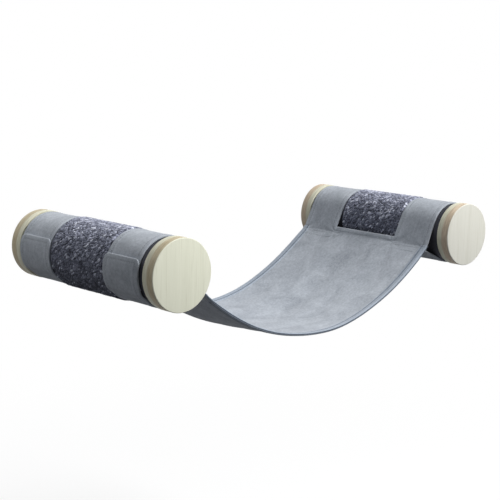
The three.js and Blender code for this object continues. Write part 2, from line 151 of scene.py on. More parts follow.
def add(tree, kind, values=None, **settings):
    node = tree.nodes.new("ShaderNode" + kind)
    for key, value in settings.items():
        setattr(node, key, value)
    feed(tree, values or {}, node.inputs)
    return node


def colour(red, green, blue):
    """A colour as it shows on screen, from 0 to 255, as Blender's linear values."""
    def linear(channel):
        c = channel / 255
        return c / 12.92 if c <= 0.04045 else ((c + 0.055) / 1.055) ** 2.4
    return (linear(red), linear(green), linear(blue), 1.0)


def ramp(tree, factor, stops):
    """Colours along a factor from 0 to 1; each stop is a place and its colour."""
    node = add(tree, "ValToRGB", {"Fac": factor})
    elements = node.color_ramp.elements
    while len(elements) < len(stops):
        elements.new(0.5)
    for element, (place, shade) in zip(elements, stops):
        element.position = place
        element.color = shade
    return node.outputs["Color"]


def mixed(tree, factor, first, second):
    node = add(tree, "Mix", {"Factor": factor, "A": first, "B": second}, data_type="RGBA")
    return node.outputs["Result"]


def maths(tree, operation, *values, **settings):
    node = add(tree, "Math", dict(enumerate(values)), operation=operation, **settings)
    return node.outputs["Value"]


def rise(tree, value, low, high, **settings):
    """0 where the value is below low, 1 where it is above high."""
    node = add(tree, "MapRange", {"Value": value, "From Min": low, "From Max": high}, **settings)
    return node.outputs["Result"]


def object_place(tree):
    return add(tree, "TexCoord").outputs["Object"]


def squeezed_place(tree, factors):
    """Object coordinates times a factor each for X, Y and Z."""
    values = {0: object_place(tree), 1: factors}
    return add(tree, "VectorMath", values, operation="MULTIPLY").outputs["Vector"]


def speckle(tree, place, per_metre, **values):
    """Noise, with about this many patches on a metre."""
    values.update({"Vector": place, "Scale": per_metre})
    return add(tree, "TexNoise", values).outputs["Fac"]


def bump(tree, height, shader, strength, distance):
    node = add(tree, "Bump", {"Height": height, "Strength": strength, "Distance": distance})
    feed(tree, {"Normal": node.outputs["Normal"]}, shader.inputs)


def new_group(name, inputs, outputs):
    """A node group with inputs {name: default} and the named outputs, all of them floats."""
    tree = bpy.data.node_groups.new(name, "ShaderNodeTree")
    for title, default in inputs.items():
        socket = tree.interface.new_socket(title, in_out="INPUT", socket_type=FLOAT)
        socket.default_value = default
    for title in outputs:
        tree.interface.new_socket(title, in_out="OUTPUT", socket_type=FLOAT)
    start = tree.nodes.new("NodeGroupInput")
    end = tree.nodes.new("NodeGroupOutput")
    return tree, start.outputs, end.inputs


def use_group(tree, group, values=None):
    return add(tree, "Group", values, node_tree=group).outputs


def new_material(name):
    material = bpy.data.materials.new(name)
    material.use_nodes = True
    tree = material.node_tree
    return material, tree, tree.nodes["Principled BSDF"]


print("node helpers ready")

# %% [markdown]
# ## Shared effect: nap
#
# The sling is a short piled, suede like cloth. Three things make it read as cloth: fine
# fibres, which break the light up below a millimetre, a mottle of pile tufts a few
# millimetres wide, and brushed patches of some centimetres, where the pile lies over
# to one side and looks lighter or darker. One group makes them all from noise.

# %% Nap group
FIBRE_SHARE = 0.5  # how high the fibres stand beside the tufts


def nap_group():
    tree, given, out = new_group(
        "nap",
        {"Fibre per m": 1400.0, "Tuft per m": 260.0, "Patch per m": 28.0, "Tuft share": 0.5},
        ("Tone", "Height"),
    )
    place = object_place(tree)
    fibre = speckle(tree, place, given["Fibre per m"], Detail=3.0, Roughness=0.65)
    tuft = speckle(tree, place, given["Tuft per m"], Detail=5.0, Roughness=0.7, Distortion=0.4)
    patch = speckle(tree, place, given["Patch per m"], Detail=4.0, Roughness=0.55, Distortion=0.6)
    tone = add(tree, "Mix", {"Factor": given["Tuft share"], "A": patch, "B": tuft})
    height = maths(tree, "MULTIPLY_ADD", fibre, FIBRE_SHARE, tuft)
    feed(tree, {"Tone": tone.outputs["Result"], "Height": height}, out)
    return tree


NAP = nap_group()
print("group", NAP.name)

# %% [markdown]
# ## Shared effect: wood grain
#
# The discs are cut from a pale board with fine upright streaks. Grain is noise that is
# squeezed hard across and stretched along the growth: broad bands of tone, and thin
# dark pores inside them. The bands' noise is distorted a little, because no tree grows
# straight.

# %% Grain group
STREAK_SHARE = 0.55  # of the tone; the bands make up the rest
PORE_STOPS = [(0.30, (1, 1, 1, 1)), (0.42, (0, 0, 0, 1))]


def grain_group():
    tree, given, out = new_group(
        "grain", {"Streaks per m": 640.0, "Bands per m": 90.0, "Stretch": 0.02},
        ("Tone", "Pores"),
    )
    squeeze = add(tree, "CombineXYZ", {"X": 1.0, "Y": 1.0, "Z": given["Stretch"]})
    place = squeezed_place(tree, squeeze.outputs["Vector"])
    bands = speckle(tree, place, given["Bands per m"], Detail=2.0, Roughness=0.5, Distortion=0.3)
    streaks = speckle(tree, place, given["Streaks per m"], Detail=4.0, Roughness=0.7)
    from_bands = maths(tree, "MULTIPLY", bands, 1 - STREAK_SHARE)
    tone = maths(tree, "MULTIPLY_ADD", streaks, STREAK_SHARE, from_bands)
    feed(tree, {"Tone": tone, "Pores": ramp(tree, streaks, PORE_STOPS)}, out)
    return tree


GRAIN = grain_group()
print("group", GRAIN.name)

# %% [markdown]
# ## Finishes of the cloth
#
# Four cloths share the nap group: the grey suede, the binding along the sling's edges,
# the hook tape and the loop tape. Meshes of suede and binding carry an attribute named
# hem, which runs from -1 to 1. Above zero the cloth gets lighter, a painted highlight
# where rounded cloth would catch the light: on the suede's cut edge, its hem's fold line
# and faintly over the hem, and on the binding's top. Below zero it gets darker, a painted
# shade in the groove of a row of stitches and, on the binding, under its nose and edge.
# The tapes have no such attribute and keep their plain tone. Cloth also gets sheen, the
# soft glow of fibres seen edge on. Sheen is one value for the whole piece, set on the
# shader itself.

# %% Cloth finishes


def cloth_finish(name, dark, light, worn, groove, fibre, tuft, share):
    """fibre and tuft are counts on a metre, and share is the tufts' part of the tone. The two
    colours after light are the hem attribute's painted highlight and painted shade.
    """
    material, tree, shader = new_material(name)
    nap = use_group(tree, NAP, {"Fibre per m": fibre, "Tuft per m": tuft, "Tuft share": share})
    shade = ramp(tree, nap["Tone"], [(0.34, dark), (0.66, light)])
    hem = add(tree, "Attribute", attribute_name="hem").outputs["Fac"]
    # Painted light: the hem attribute turns the cloth towards a painted highlight above zero and
    # towards a painted shade below.
    for sign, tint in ((1, worn), (-1, groove)):
        tinted = maths(tree, "MULTIPLY", hem, sign, use_clamp=True)
        shade = mixed(tree, tinted, shade, tint)
    feed(tree, {"Base Color": shade, "Roughness": 0.95, "Specular IOR Level": 0.2,
                "Sheen Weight": 0.25, "Sheen Roughness": 0.5}, shader.inputs)
    bump(tree, nap["Height"], shader, 0.35, 0.6 * MM)
    return material


# Each cloth's third colour is the painted highlight of its hem attribute and the fourth its painted
# shade; the tapes have no hem attribute, so theirs go unused.
SUEDE = cloth_finish(
    "grey_suede", colour(140, 146, 155), colour(186, 192, 200),
    colour(214, 221, 230), colour(76, 84, 96), 1500.0, 260.0, 0.55,
)
BINDING = cloth_finish(
    "binding", colour(120, 130, 143), colour(154, 164, 177),
    colour(190, 199, 210), colour(58, 66, 80), 1500.0, 300.0, 0.6,
)
HOOK_TAPE = cloth_finish(
    "hook_tape", colour(62, 66, 71), colour(112, 117, 122),
    colour(130, 135, 140), colour(50, 54, 60), 900.0, 500.0, 0.8,
)
LOOP_TAPE = cloth_finish(
    "loop_tape", colour(84, 89, 95), colour(128, 133, 138),
    colour(140, 145, 150), colour(70, 74, 80), 1300.0, 400.0, 0.7,
)


def thread_finish():
    material, tree, shader = new_material("grey_thread")
    nap = use_group(tree, NAP, {"Fibre per m": 3000.0, "Tuft per m": 900.0})
    shade = ramp(tree, nap["Tone"], [(0.3, colour(158, 164, 172)), (0.7, colour(198, 203, 209))])
    feed(tree, {"Base Color": shade, "Roughness": 0.6}, shader.inputs)
    bump(tree, nap["Height"], shader, 0.3, 0.2 * MM)
    return material


THREAD = thread_finish()
print("cloth finishes:", SUEDE.name, BINDING.name, HOOK_TAPE.name, LOOP_TAPE.name, THREAD.name)

# %% [markdown]
# ## Finish of the carpet
#
# The scratching pad is a dark blue grey carpet of short loops. Some loops are spun of a
# paler yarn and show as light flecks. The mesh is modelled loop by loop, and it carries
# two attributes: crown, how high a point stands on its loop, and yarn, a tone for the
# whole loop, which is also painted lighter towards the top. The shader only has to mix
# its colours by them: a nearly black painted shade down between the loops, and the yarn's
# own on their crowns.

# %% Carpet finish
YARN_STOPS = [
    (0.0, colour(78, 81, 94)), (0.45, colour(138, 142, 160)),
    (0.8, colour(184, 188, 208)), (1.0, colour(232, 236, 250)),
]
# Painted shade: the colour down between the loops is nearly black and stands for their shadow.
SHADE_BETWEEN_LOOPS = colour(34, 36, 46)


def carpet_finish():
    material, tree, shader = new_material("loop_carpet")
    nap = use_group(tree, NAP, {"Fibre per m": 1400.0, "Tuft per m": 700.0, "Tuft share": 0.8})
    yarn = add(tree, "Attribute", attribute_name="yarn").outputs["Fac"]
    crown = add(tree, "Attribute", attribute_name="crown").outputs["Fac"]
    loose = maths(tree, "MULTIPLY_ADD", nap["Tone"], 0.5, -0.25)
    tone = maths(tree, "ADD", yarn, loose, use_clamp=True)
    # Low on a loop the colour turns into that painted shade.
    on_loop = rise(tree, crown, 0.3, 1.0, interpolation_type="SMOOTHSTEP")
    shade = mixed(tree, on_loop, SHADE_BETWEEN_LOOPS, ramp(tree, tone, YARN_STOPS))
    feed(tree, {"Base Color": shade, "Roughness": 1.0, "Specular IOR Level": 0.1,
                "Sheen Weight": 0.15}, shader.inputs)
    bump(tree, nap["Height"], shader, 0.6, 0.8 * MM)
    return material


CARPET = carpet_finish()
print("carpet finish:", CARPET.name)

# %% [markdown]
# ## Finishes of wood and board
#
# A disc's face is pale and faintly green, with upright grain. Its side is cut across
# the board's layers: a cream layer by the roller and a browner one behind the face. The
# side's tone follows the depth into the disc, so one mask on Y makes the two layers,
# and noise that is stretched round the rim adds their thin plies. The two rollers come
# from different boards, so the right one's faces are a little whiter and its brown layer
# a little redder.

# %% Wood and board finishes
PLY_WANDER = 3 * MM  # noise adds up to this much to a place's depth in the board
LAYER_FROM, LAYER_TO = 12.4 * MM, 15.8 * MM  # where, so moved, the brown layer turns cream
PLY_SQUEEZE = (60, 1400, 60)  # thin through the board, long round the rim
RIM_FROM, RIM_TO = 0.6 * MM, 1.8 * MM  # depth where the face's tone turns into the side's
CREAM_STOPS = [(0.35, colour(194, 192, 168)), (0.65, colour(230, 228, 208))]
PORE_TONE, PORE_SHARE = colour(186, 182, 156), 0.3


def wood_finish(name, face_y, outward, dark, light, brown_dark, brown_light):
    """face_y is the disc's free face, and outward is the sign of its way along Y."""
    material, tree, shader = new_material(name)
    grain = use_group(tree, GRAIN)
    face = ramp(tree, grain["Tone"], [(0.3, dark), (0.7, light)])
    place = add(tree, "SeparateXYZ", {"Vector": object_place(tree)})
    depth = maths(tree, "MULTIPLY_ADD", place.outputs["Y"], -outward, outward * face_y)
    plies = speckle(tree, squeezed_place(tree, PLY_SQUEEZE), 1.0, Detail=3.0, Roughness=0.6)
    in_board = maths(tree, "MULTIPLY_ADD", plies, PLY_WANDER, depth)
    brown = ramp(tree, plies, [(0.35, brown_dark), (0.65, brown_light)])
    cream = ramp(tree, plies, CREAM_STOPS)
    side = mixed(tree, rise(tree, in_board, LAYER_FROM, LAYER_TO), brown, cream)
    plain = mixed(tree, rise(tree, depth, RIM_FROM, RIM_TO), face, side)
    pores = maths(tree, "MULTIPLY", grain["Pores"], PORE_SHARE)
    feed(tree, {"Base Color": mixed(tree, pores, plain, PORE_TONE), "Roughness": 0.55,
                "Specular IOR Level": 0.35}, shader.inputs)
    bump(tree, grain["Tone"], shader, 0.12, 0.4 * MM)
    return material


def plain_grain_finish(name, dark, light, roughness):
    material, tree, shader = new_material(name)
    grain = use_group(tree, GRAIN, {"Streaks per m": 300.0, "Stretch": 0.1})
    shade = ramp(tree, grain["Tone"], [(0.35, dark), (0.65, light)])
    feed(tree, {"Base Color": shade, "Roughness": roughness}, shader.inputs)
    bump(tree, grain["Tone"], shader, 0.2, 0.4 * MM)
    return material


FRONT_Y, WALL_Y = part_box("left_front_disc")[0].y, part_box("left_wall_disc")[1].y
GREENISH = (colour(225, 226, 205), colour(239, 240, 221),
            colour(164, 151, 122), colour(208, 196, 166))
WHITISH = (colour(214, 213, 201), colour(229, 228, 218),
           colour(178, 159, 135), colour(222, 205, 181))
WOODS = {
    (side, end): wood_finish(f"pale_wood_{side}_{end}", face_y, outward, *tones)
    for end, face_y, outward in (("front", FRONT_Y, -1), ("wall", WALL_Y, 1))
    for side, tones in (("left", GREENISH), ("right", WHITISH))
}
PLYWOOD = plain_grain_finish("plywood", colour(160, 132, 96), colour(200, 176, 138), 0.7)
DARK_BOARD = plain_grain_finish("dark_board", colour(30, 31, 38), colour(48, 50, 60), 0.85)
print("wood finishes:", [wood.name for wood in WOODS.values()], PLYWOOD.name, DARK_BOARD.name)

# %% [markdown]
# ## Finishes of the fasteners
#
# Screws, nuts and rods are zinc plated steel, which is grey, a little cloudy and never
# a mirror. The wall plugs are moulded nylon with a faint grain from the mould.

# %% Metal and nylon finishes
CLOUDY = 0.08  # how far the roughness goes up and down


def cloudy_finish(name, dark, light, metallic, roughness, density):
    """density is how many cloudy spots lie on a metre."""
    material, tree, shader = new_material(name)
    nap = use_group(tree, NAP, {"Fibre per m": density * 6, "Tuft per m": density,
                                "Patch per m": density / 8})
    shade = ramp(tree, nap["Tone"], [(0.3, dark), (0.7, light)])
    rough = add(tree, "MapRange", {"Value": nap["Tone"], "To Min": roughness - CLOUDY,
                                   "To Max": roughness + CLOUDY})
    feed(tree, {"Base Color": shade, "Metallic": metallic,
                "Roughness": rough.outputs["Result"]}, shader.inputs)
    bump(tree, nap["Height"], shader, 0.08, 0.2 * MM)
    return material


ZINC = cloudy_finish("zinc_steel", colour(150, 152, 156), colour(198, 200, 203), 1.0, 0.38, 400.0)
NYLON = cloudy_finish("grey_nylon", colour(158, 162, 165), colour(176, 180, 183), 0.0, 0.5, 300.0)
print("fastener finishes:", ZINC.name, NYLON.name)

# %% [markdown]
# ## Carried over pieces
#
# Some measured pieces already have the right shape: hubs, nuts, rods, screws and the
# two tapes of each closure. They stay, and only take their finish.

# %% Finishes on carried over pieces
CARRIED = {
    "_hub": PLYWOOD, "_nut": ZINC, "_clamp_rod": ZINC, "_screw_1": ZINC, "_screw_2": ZINC,
    "_hook_tape": HOOK_TAPE, "_loop_tape": LOOP_TAPE,
}


def finish_carried_pieces():
    for name, node in nodes.items():
        for ending, finish in CARRIED.items():
            if name.endswith(ending):
                node.data.materials.clear()
                node.data.materials.append(finish)


finish_carried_pieces()
print(sum(name.endswith(tuple(CARRIED)) for name in nodes), "carried over pieces")

# %% [markdown]
# ## Modelling helpers
#
# An operator works on whatever is selected, so a new piece starts with nothing
# selected. Edges are picked in code, by where their two ends lie. A shape whose ends
# only meet is closed by merging the points that lie on each other, and then all its
# faces are turned outwards.

# %% Modelling helpers
MERGE = 0.01 * MM
ALONG_Y = (math.radians(90), 0, 0)  # turns a primitive's axis on to Y


def start_clean():
    if bpy.context.object and bpy.context.object.mode != "OBJECT":
        bpy.ops.object.mode_set(mode="OBJECT")
    bpy.ops.object.select_all(action="DESELECT")


def only(piece):
    start_clean()
    piece.select_set(True)
    bpy.context.view_layer.objects.active = piece


def into_mesh(piece):
    """Moves the piece's place and turn into its mesh."""
    only(piece)
    bpy.ops.object.transform_apply(location=True, rotation=True, scale=True)


def pick_edges(piece, wanted):
    """In edit mode, selects the edges whose two ends pass the test together."""
    bpy.ops.mesh.select_all(action="DESELECT")
    bpy.ops.mesh.select_mode(type="EDGE")
    shape = bmesh.from_edit_mesh(piece.data)
    for edge in shape.edges:
        edge.select_set(wanted(*(vertex.co for vertex in edge.verts)))
    bmesh.update_edit_mesh(piece.data)


def close_up(piece):
    """Merges points that meet, and turns all faces outwards."""
    only(piece)
    bpy.ops.object.mode_set(mode="EDIT")
    bpy.ops.mesh.select_all(action="SELECT")
    bpy.ops.mesh.remove_doubles(threshold=MERGE)
    bpy.ops.mesh.normals_make_consistent(inside=False)
    bpy.ops.mesh.select_all(action="DESELECT")
    bpy.ops.object.mode_set(mode="OBJECT")


def apply_all(piece):
    only(piece)
    for modifier in list(piece.modifiers):
        bpy.ops.object.modifier_apply(modifier=modifier.name)


def dress(piece, name, finish, body, replaced=()):
    piece.name = name
    piece.data.name = name
    piece.data.materials.clear()
    piece.data.materials.append(finish)
    if body:
        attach(piece, body)
    if replaced:
        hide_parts(*replaced)


print("modelling helpers ready")

# %% [markdown]
# ## Wooden discs
#
# Each disc is a round slice of board with softly broken edges. A cylinder with many
# sides gives the circle, and a small round bevel on both rims catches the light that
# tells the eye where the face ends. The wall discs are the same piece at the wall.

# %% Discs
DISC_SIDES = 144
EDGE_ROUND = 1.1 * MM
RIM_SMOOTH = math.radians(35)


def wooden_disc(side, end, finish):
    node = f"{side}_{end}_disc"
    start_clean()
    bpy.ops.mesh.primitive_cylinder_add(
        vertices=DISC_SIDES, radius=DISC_R, depth=DISC_T, location=middle(node), rotation=ALONG_Y,
    )
    disc = bpy.context.object
    into_mesh(disc)
    bpy.ops.object.mode_set(mode="EDIT")
    pick_edges(disc, lambda a, b: abs(a.y - b.y) < MM)
    bpy.ops.mesh.bevel(offset=EDGE_ROUND, segments=4)
    bpy.ops.mesh.select_all(action="DESELECT")
    bpy.ops.object.mode_set(mode="OBJECT")
    bpy.ops.object.shade_smooth_by_angle(angle=RIM_SMOOTH)
    dress(disc, f"{side}_{end}_wooden_disc", finish, "root", [node])


for (side, end), wood in WOODS.items():
    wooden_disc(side, end, wood)
print("discs of", round(2 * DISC_R, 3), "across")

# %% [markdown]
# ## Wall plugs
#
# Each roller's two wall screws bite in nylon plugs. A plug starts as the ring of its
# bore's mouth. The ring is extruded and resized step by step: out to the collar, along
# the sleeve with its slanting fins, round the tip and back down the bore. Two slits,
# cut by a thin block with a Boolean modifier, let the sleeve spread in the wall.

# %% Wall plugs
PLUG_SIDES = 32
PLUG_BORE_R, PLUG_SLEEVE_R = 2.8 * MM, 3.4 * MM
COLLAR_T, COLLAR_BREAK = 1.2 * MM, 0.3 * MM
FINS, FIN_R, FIN_PITCH, FIN_FROM = 7, 4.7 * MM, 3.1 * MM, 4 * MM
FIN_FACE, FIN_BACK = 0.2 * MM, 0.85  # steep in front, and sloping over most of the pitch
TIP_LONG, TIP_WALL = 3 * MM, 0.35 * MM
SLIT_W, SLIT_FROM, SLIT_TO = 1.1 * MM, 5 * MM, 26 * MM
PLUG_SMOOTH = math.radians(22)


def plug_profile(low, high, collar_r):
    """Radius and place along Y, from the bore's mouth out, in and back again."""
    steps = [(PLUG_BORE_R, low), (collar_r - COLLAR_BREAK, low), (collar_r, low + COLLAR_BREAK),
             (collar_r, low + COLLAR_T), (PLUG_SLEEVE_R, low + COLLAR_T)]
    for k in range(FINS):
        foot = low + FIN_FROM + k * FIN_PITCH
        steps += [(PLUG_SLEEVE_R, foot), (FIN_R, foot + FIN_FACE),
                  (PLUG_SLEEVE_R, foot + FIN_BACK * FIN_PITCH)]
    tip = high - TIP_LONG
    return steps + [(PLUG_SLEEVE_R, tip), (PLUG_BORE_R + TIP_WALL, high), (PLUG_BORE_R, high),
                    (PLUG_BORE_R, tip), (PLUG_BORE_R, low)]


def wall_plug(node):
    low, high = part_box(node)
    axis = middle(node)
    profile = plug_profile(low.y, high.y, (high.x - low.x) / 2)
    start_clean()
    bpy.ops.mesh.primitive_circle_add(
        vertices=PLUG_SIDES, radius=profile[0][0], fill_type="NOTHING",
        location=(axis.x, profile[0][1], axis.z), rotation=ALONG_Y,
    )
    plug = bpy.context.object
    into_mesh(plug)
    bpy.ops.object.mode_set(mode="EDIT")
    bpy.ops.mesh.select_all(action="SELECT")
    for (radius, y), (next_radius, next_y) in zip(profile, profile[1:]):
        bpy.ops.mesh.extrude_region_move(TRANSFORM_OT_translate={"value": (0, next_y - y, 0)})
        grow = next_radius / radius
        bpy.ops.transform.resize(value=(grow, 1, grow), center_override=(axis.x, next_y, axis.z))
    close_up(plug)
    bpy.ops.mesh.primitive_cube_add(
        size=1, location=(axis.x, low.y + (SLIT_FROM + SLIT_TO) / 2, axis.z),
        scale=(4 * FIN_R, SLIT_TO - SLIT_FROM, SLIT_W),
    )
    block = bpy.context.object
    slits = plug.modifiers.new("slits", "BOOLEAN")
    slits.operation = "DIFFERENCE"
    slits.object = block
    apply_all(plug)
    bpy.data.objects.remove(block)
    bpy.ops.object.shade_smooth_by_angle(angle=PLUG_SMOOTH)
    dress(plug, node.replace("wall", "nylon_wall"), NYLON, "root", [node])
    return plug


plugs = [wall_plug(f"{side}_wall_plug_{number}") for side in INWARD for number in (1, 2)]
print("a plug has", len(plugs[0].data.polygons), "faces")

# %% [markdown]
# ## Board tubes
#
# The tube shows as a dark ring behind each front disc, and where tab and strap part
# beside the sling. It is an open cylinder whose wall comes from a Solidify modifier, so
# it stays hollow.

# %% Tubes
TUBE_SIDES = 120
TUBE_WALL = 5.5 * MM


def board_tube(side):
    node = f"{side}_board_tube"
    start_clean()
    bpy.ops.mesh.primitive_cylinder_add(
        vertices=TUBE_SIDES, radius=TUBE_R, depth=span(node).y, end_fill_type="NOTHING",
        location=middle(node), rotation=ALONG_Y,
    )
    tube = bpy.context.object
    into_mesh(tube)
    wall = tube.modifiers.new("wall", "SOLIDIFY")
    wall.thickness = TUBE_WALL
    wall.offset = -1
    apply_all(tube)
    bpy.ops.object.shade_smooth_by_angle(angle=RIM_SMOOTH)
    dress(tube, f"{side}_tube", DARK_BOARD, "root", [node])


for side in INWARD:
    board_tube(side)
print("tubes with", TUBE_WALL / MM, "mm wall")

# %% [markdown]
# ## Carpet pads
#
# The pad is a strip of loop carpet wrapped round the tube, and its ends meet below the
# roller. A flat grid is rolled up both ways: round the roller, and in its cross section
# over the pile, down one end, back along the backing and up the other end, so the piece
# closes on itself. Each point of the pile is raised by the loop it belongs to. The loops
# are the cells of a Voronoi pattern, stretched and turned, because the yarn slants. Most
# are mid dark. Pale ones are rare below and come more often on top, and all loops get
# lighter towards the top: both are painted light from above.

# %% Carpet pads
PAD_STEP = 0.74 * MM
LOOP_WIDE, LOOP_LONG = 2.2 * MM, 6.0 * MM
LOOP_SLANT = math.radians(140)
LOOP_HEIGHT = 2.0 * MM
LOOP_EDGE = 0.5  # how far from its cell's edge, in widths, a loop reaches its full height
CELL_SPREAD = 7.31  # sets the tones of neighbours apart
PAD_LOW_R = TUBE_R + 1.9 * MM
PAD_BACK_R = TUBE_R + 0.3 * MM
PAD_END_ROUND = 1.5 * MM
PAD_WAVE, PAD_WAVES = 0.4 * MM, 3
PILE_PAST_END = 0.9 * MM
SEAM_BELOW = -math.pi / 2
# The pale share rises from the bottom's value to the top's: painted light from above.
PALE_BELOW, PALE_PAINTED_TOPLIGHT = 0.04, 0.22  # share of pale loops, at the bottom and on top
PALE_TONE = 0.9
# The middle value lightens the loops towards the top: painted light from above.
TONE_SPREAD, TONE_PAINTED_TOPLIGHT, TONE_LOWERED = 0.5, 0.3, 0.1
STREAK_TONE, STREAKS = 0.25, 6
LOWEST_CROWN = 0.12
ALL_ROUND = 1 - 1e-6  # a full turn comes back to the start, so the seam's points meet
LOOP_SEED = 3.5


def loop_at(round_place, y, side_seed):
    """How high a point stands on its loop, and that loop's own random tone."""
    c, s = math.cos(LOOP_SLANT), math.sin(LOOP_SLANT)
    wide = (round_place * c - y * s) / LOOP_WIDE
    long = (round_place * s + y * c) / LOOP_LONG
    distances, centres = noise.voronoi(Vector((wide, long, side_seed)))
    crown = min(1.0, (distances[1] - distances[0]) / LOOP_EDGE)
    return math.sqrt(crown * (2 - crown)), noise.cell(centres[0] * CELL_SPREAD)


def yarn_tone_and_toplight(tone, streak, above):
    """From 0, dark, to 1, pale; above is 0 at the roller's bottom and 1 on top. Loops are
    more often pale and lighter towards the top: painted light from above.
    """
    share = abs(tone) % 1
    if share < PALE_BELOW + (PALE_PAINTED_TOPLIGHT - PALE_BELOW) * above:
        yarn = PALE_TONE
    else:
        yarn = TONE_SPREAD * share + TONE_PAINTED_TOPLIGHT * above - TONE_LOWERED
    return min(1.0, max(0.0, yarn + STREAK_TONE * streak))


def pad_profile(low, high):
    """The closed cross section: place along Y, radius, and 1 where there is pile."""
    count = round((high - low) / PAD_STEP)
    profile = []
    for k in range(count + 1):
        y = low + (high - low) * k / count
        end = 1 - min(1.0, min(y - low, high - y) / PAD_END_ROUND)
        profile.append((y, PAD_LOW_R - PAD_END_ROUND * (1 - math.sqrt(1 - end * end)), 1 - end))
    inside = PAD_END_ROUND / 3
    profile += [(high, PAD_BACK_R + inside, 0), (high - inside, PAD_BACK_R, 0)]
    profile += [(low + (high - low) * k / 6, PAD_BACK_R, 0) for k in range(5, 0, -1)]
    profile += [(low + inside, PAD_BACK_R, 0), (low, PAD_BACK_R + inside, 0)]
    return profile + profile[:1]


def carpet_pad(side):
    node = f"{side}_carpet_pad"
    low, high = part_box(node)[0].y - PILE_PAST_END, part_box(node)[1].y + PILE_PAST_END
    profile = pad_profile(low, high)
    columns = round(2 * math.pi * PAD_LOW_R / PAD_STEP)
    start_clean()
    bpy.ops.mesh.primitive_grid_add(
        x_subdivisions=columns, y_subdivisions=len(profile) - 1, size=2,
    )
    pad = bpy.context.object
    crowns, yarns = [], []
    for vertex in pad.data.vertices:
        turn = (vertex.co.x + 1) / 2 % ALL_ROUND
        angle = SEAM_BELOW - 2 * math.pi * turn
        y, radius, pile = profile[round((vertex.co.y + 1) / 2 * (len(profile) - 1))]
        crown, tone = loop_at(turn * 2 * math.pi * PAD_LOW_R, y, LOOP_SEED * INWARD[side])
        around = Vector((math.cos(angle), y / PAD_LOW_R, math.sin(angle)))
        radius += pile * (LOOP_HEIGHT * crown + PAD_WAVE * noise.noise(around * PAD_WAVES))
        vertex.co = (AXIS_X[side] + math.cos(angle) * radius, y, math.sin(angle) * radius)
        crowns.append(LOWEST_CROWN + (1 - LOWEST_CROWN) * crown)
        streak = noise.noise(around * STREAKS)
        # The last value is the height round the roller, which sets the painted light from above.
        yarns.append(yarn_tone_and_toplight(tone, streak, (1 + math.sin(angle)) / 2))
    for title, values in (("crown", crowns), ("yarn", yarns)):
        pad.data.attributes.new(title, "FLOAT", "POINT").data.foreach_set("value", values)
    close_up(pad)
    bpy.ops.object.shade_smooth()
    dress(pad, f"{side}_loop_carpet", CARPET, "root", [node])
    print(pad.name, len(pad.data.polygons), "faces")


for side in INWARD:
    carpet_pad(side)

# %% [markdown]
# ## The line that cloth hangs on
#
# Seen from the front, each cloth of the hammock is a line: round a roller on an arc,
# straight to the seam, and down in a curve to the middle. A line is kept as points with
# the length run so far, so a flat cut piece can be laid along it without stretching:
# length along the cut becomes length along the line. The seams' places, the sag and the
# angles are the measured sling's own.

# %% Lines
LEFT_SEAM = Vector((-0.2365, -0.036))
RIGHT_SEAM = Vector((0.2365, -0.0195))
SEAMS = {"left": LEFT_SEAM, "right": RIGHT_SEAM}
SAG = 97 * MM
DIP = 10 * MM
TAB_R = TUBE_R + 1.25 * MM
FLAP_R = TAB_R + 3.35 * MM
TAB_END_DEG, FLAP_ROOT_DEG, FLAP_END_DEG = 206, 220, 155
CLIMB_FROM_DEG, CLIMB_TO_DEG = 228, 208  # where the strap climbs on to the tab
LAP, LAP_END = 16 * MM, 3 * MM  # from the seam, where the strap lies below the sling
STRAP_UNDER = 2.3 * MM
LINE_STEP = 0.5 * MM
SLING_SOFT, STRAP_SOFT = 5 * MM, 3 * MM  # widths over which corners of a line are rounded


def run_along(points):
    """The length run so far at each point."""
    steps = np.linalg.norm(np.diff(points, axis=0), axis=1)
    return np.concatenate([[0], np.cumsum(steps)])


def read_off(at, run, values):
    """The two values at these run lengths, straight between the known ones."""
    return np.stack([np.interp(at, run, values[:, k]) for k in (0, 1)], axis=-1)


class Line:
    """Points [x, z] with their run length and the direction square to the line."""

    def __init__(self, points, smooth, towards):
        points = np.array(points, float)
        run = run_along(points)
        even = np.append(np.arange(0, run[-1], LINE_STEP), run[-1])
        self.points = softened(read_off(even, run, points), smooth)
        self.run = run_along(self.points)
        self.long = float(self.run[-1])
        along = np.gradient(self.points, axis=0)
        along /= np.linalg.norm(along, axis=1)[:, None]
        square = np.stack([-along[:, 1], along[:, 0]], axis=1)
        halfway = square[len(square) // 2]
        self.square = -square if halfway @ np.array(towards) < 0 else square

    def at(self, run):
        place = read_off(run, self.run, self.points)
        out = read_off(run, self.run, self.square)
        return place, out / np.linalg.norm(out, axis=-1, keepdims=True)

    def run_near(self, x, z):
        return float(self.run[np.argmin(np.hypot(*(self.points - np.array((x, z))).T))])


def softened(points, width):
    """Rounds the corners of a line with LINE_STEP between points, and keeps its ends."""
    half = round(width / 2 / LINE_STEP)
    padded = np.concatenate([
        2 * points[0] - points[half:0:-1], points, 2 * points[-1] - points[-2:-half - 2:-1],
    ])
    weights = np.hanning(2 * half + 3)[1:-1]
    weights /= weights.sum()
    return np.stack([np.convolve(padded[:, k], weights, "valid") for k in (0, 1)], axis=1)


def on_roller(side, radius, degrees):
    """0 degrees points to the other roller, 90 up and 180 outwards."""
    angle = math.radians(degrees)
    return (AXIS_X[side] + INWARD[side] * radius * math.cos(angle), radius * math.sin(angle))


def tangent_degrees(side):
    """Where the tab and the strap leave the roller for the seam."""
    in_x = abs(SEAMS[side].x - AXIS_X[side])
    to_seam = math.degrees(math.atan2(SEAMS[side].y, in_x))
    spread = math.degrees(math.acos(TAB_R / math.hypot(in_x, SEAMS[side].y)))
    return to_seam + spread, to_seam - spread + 360


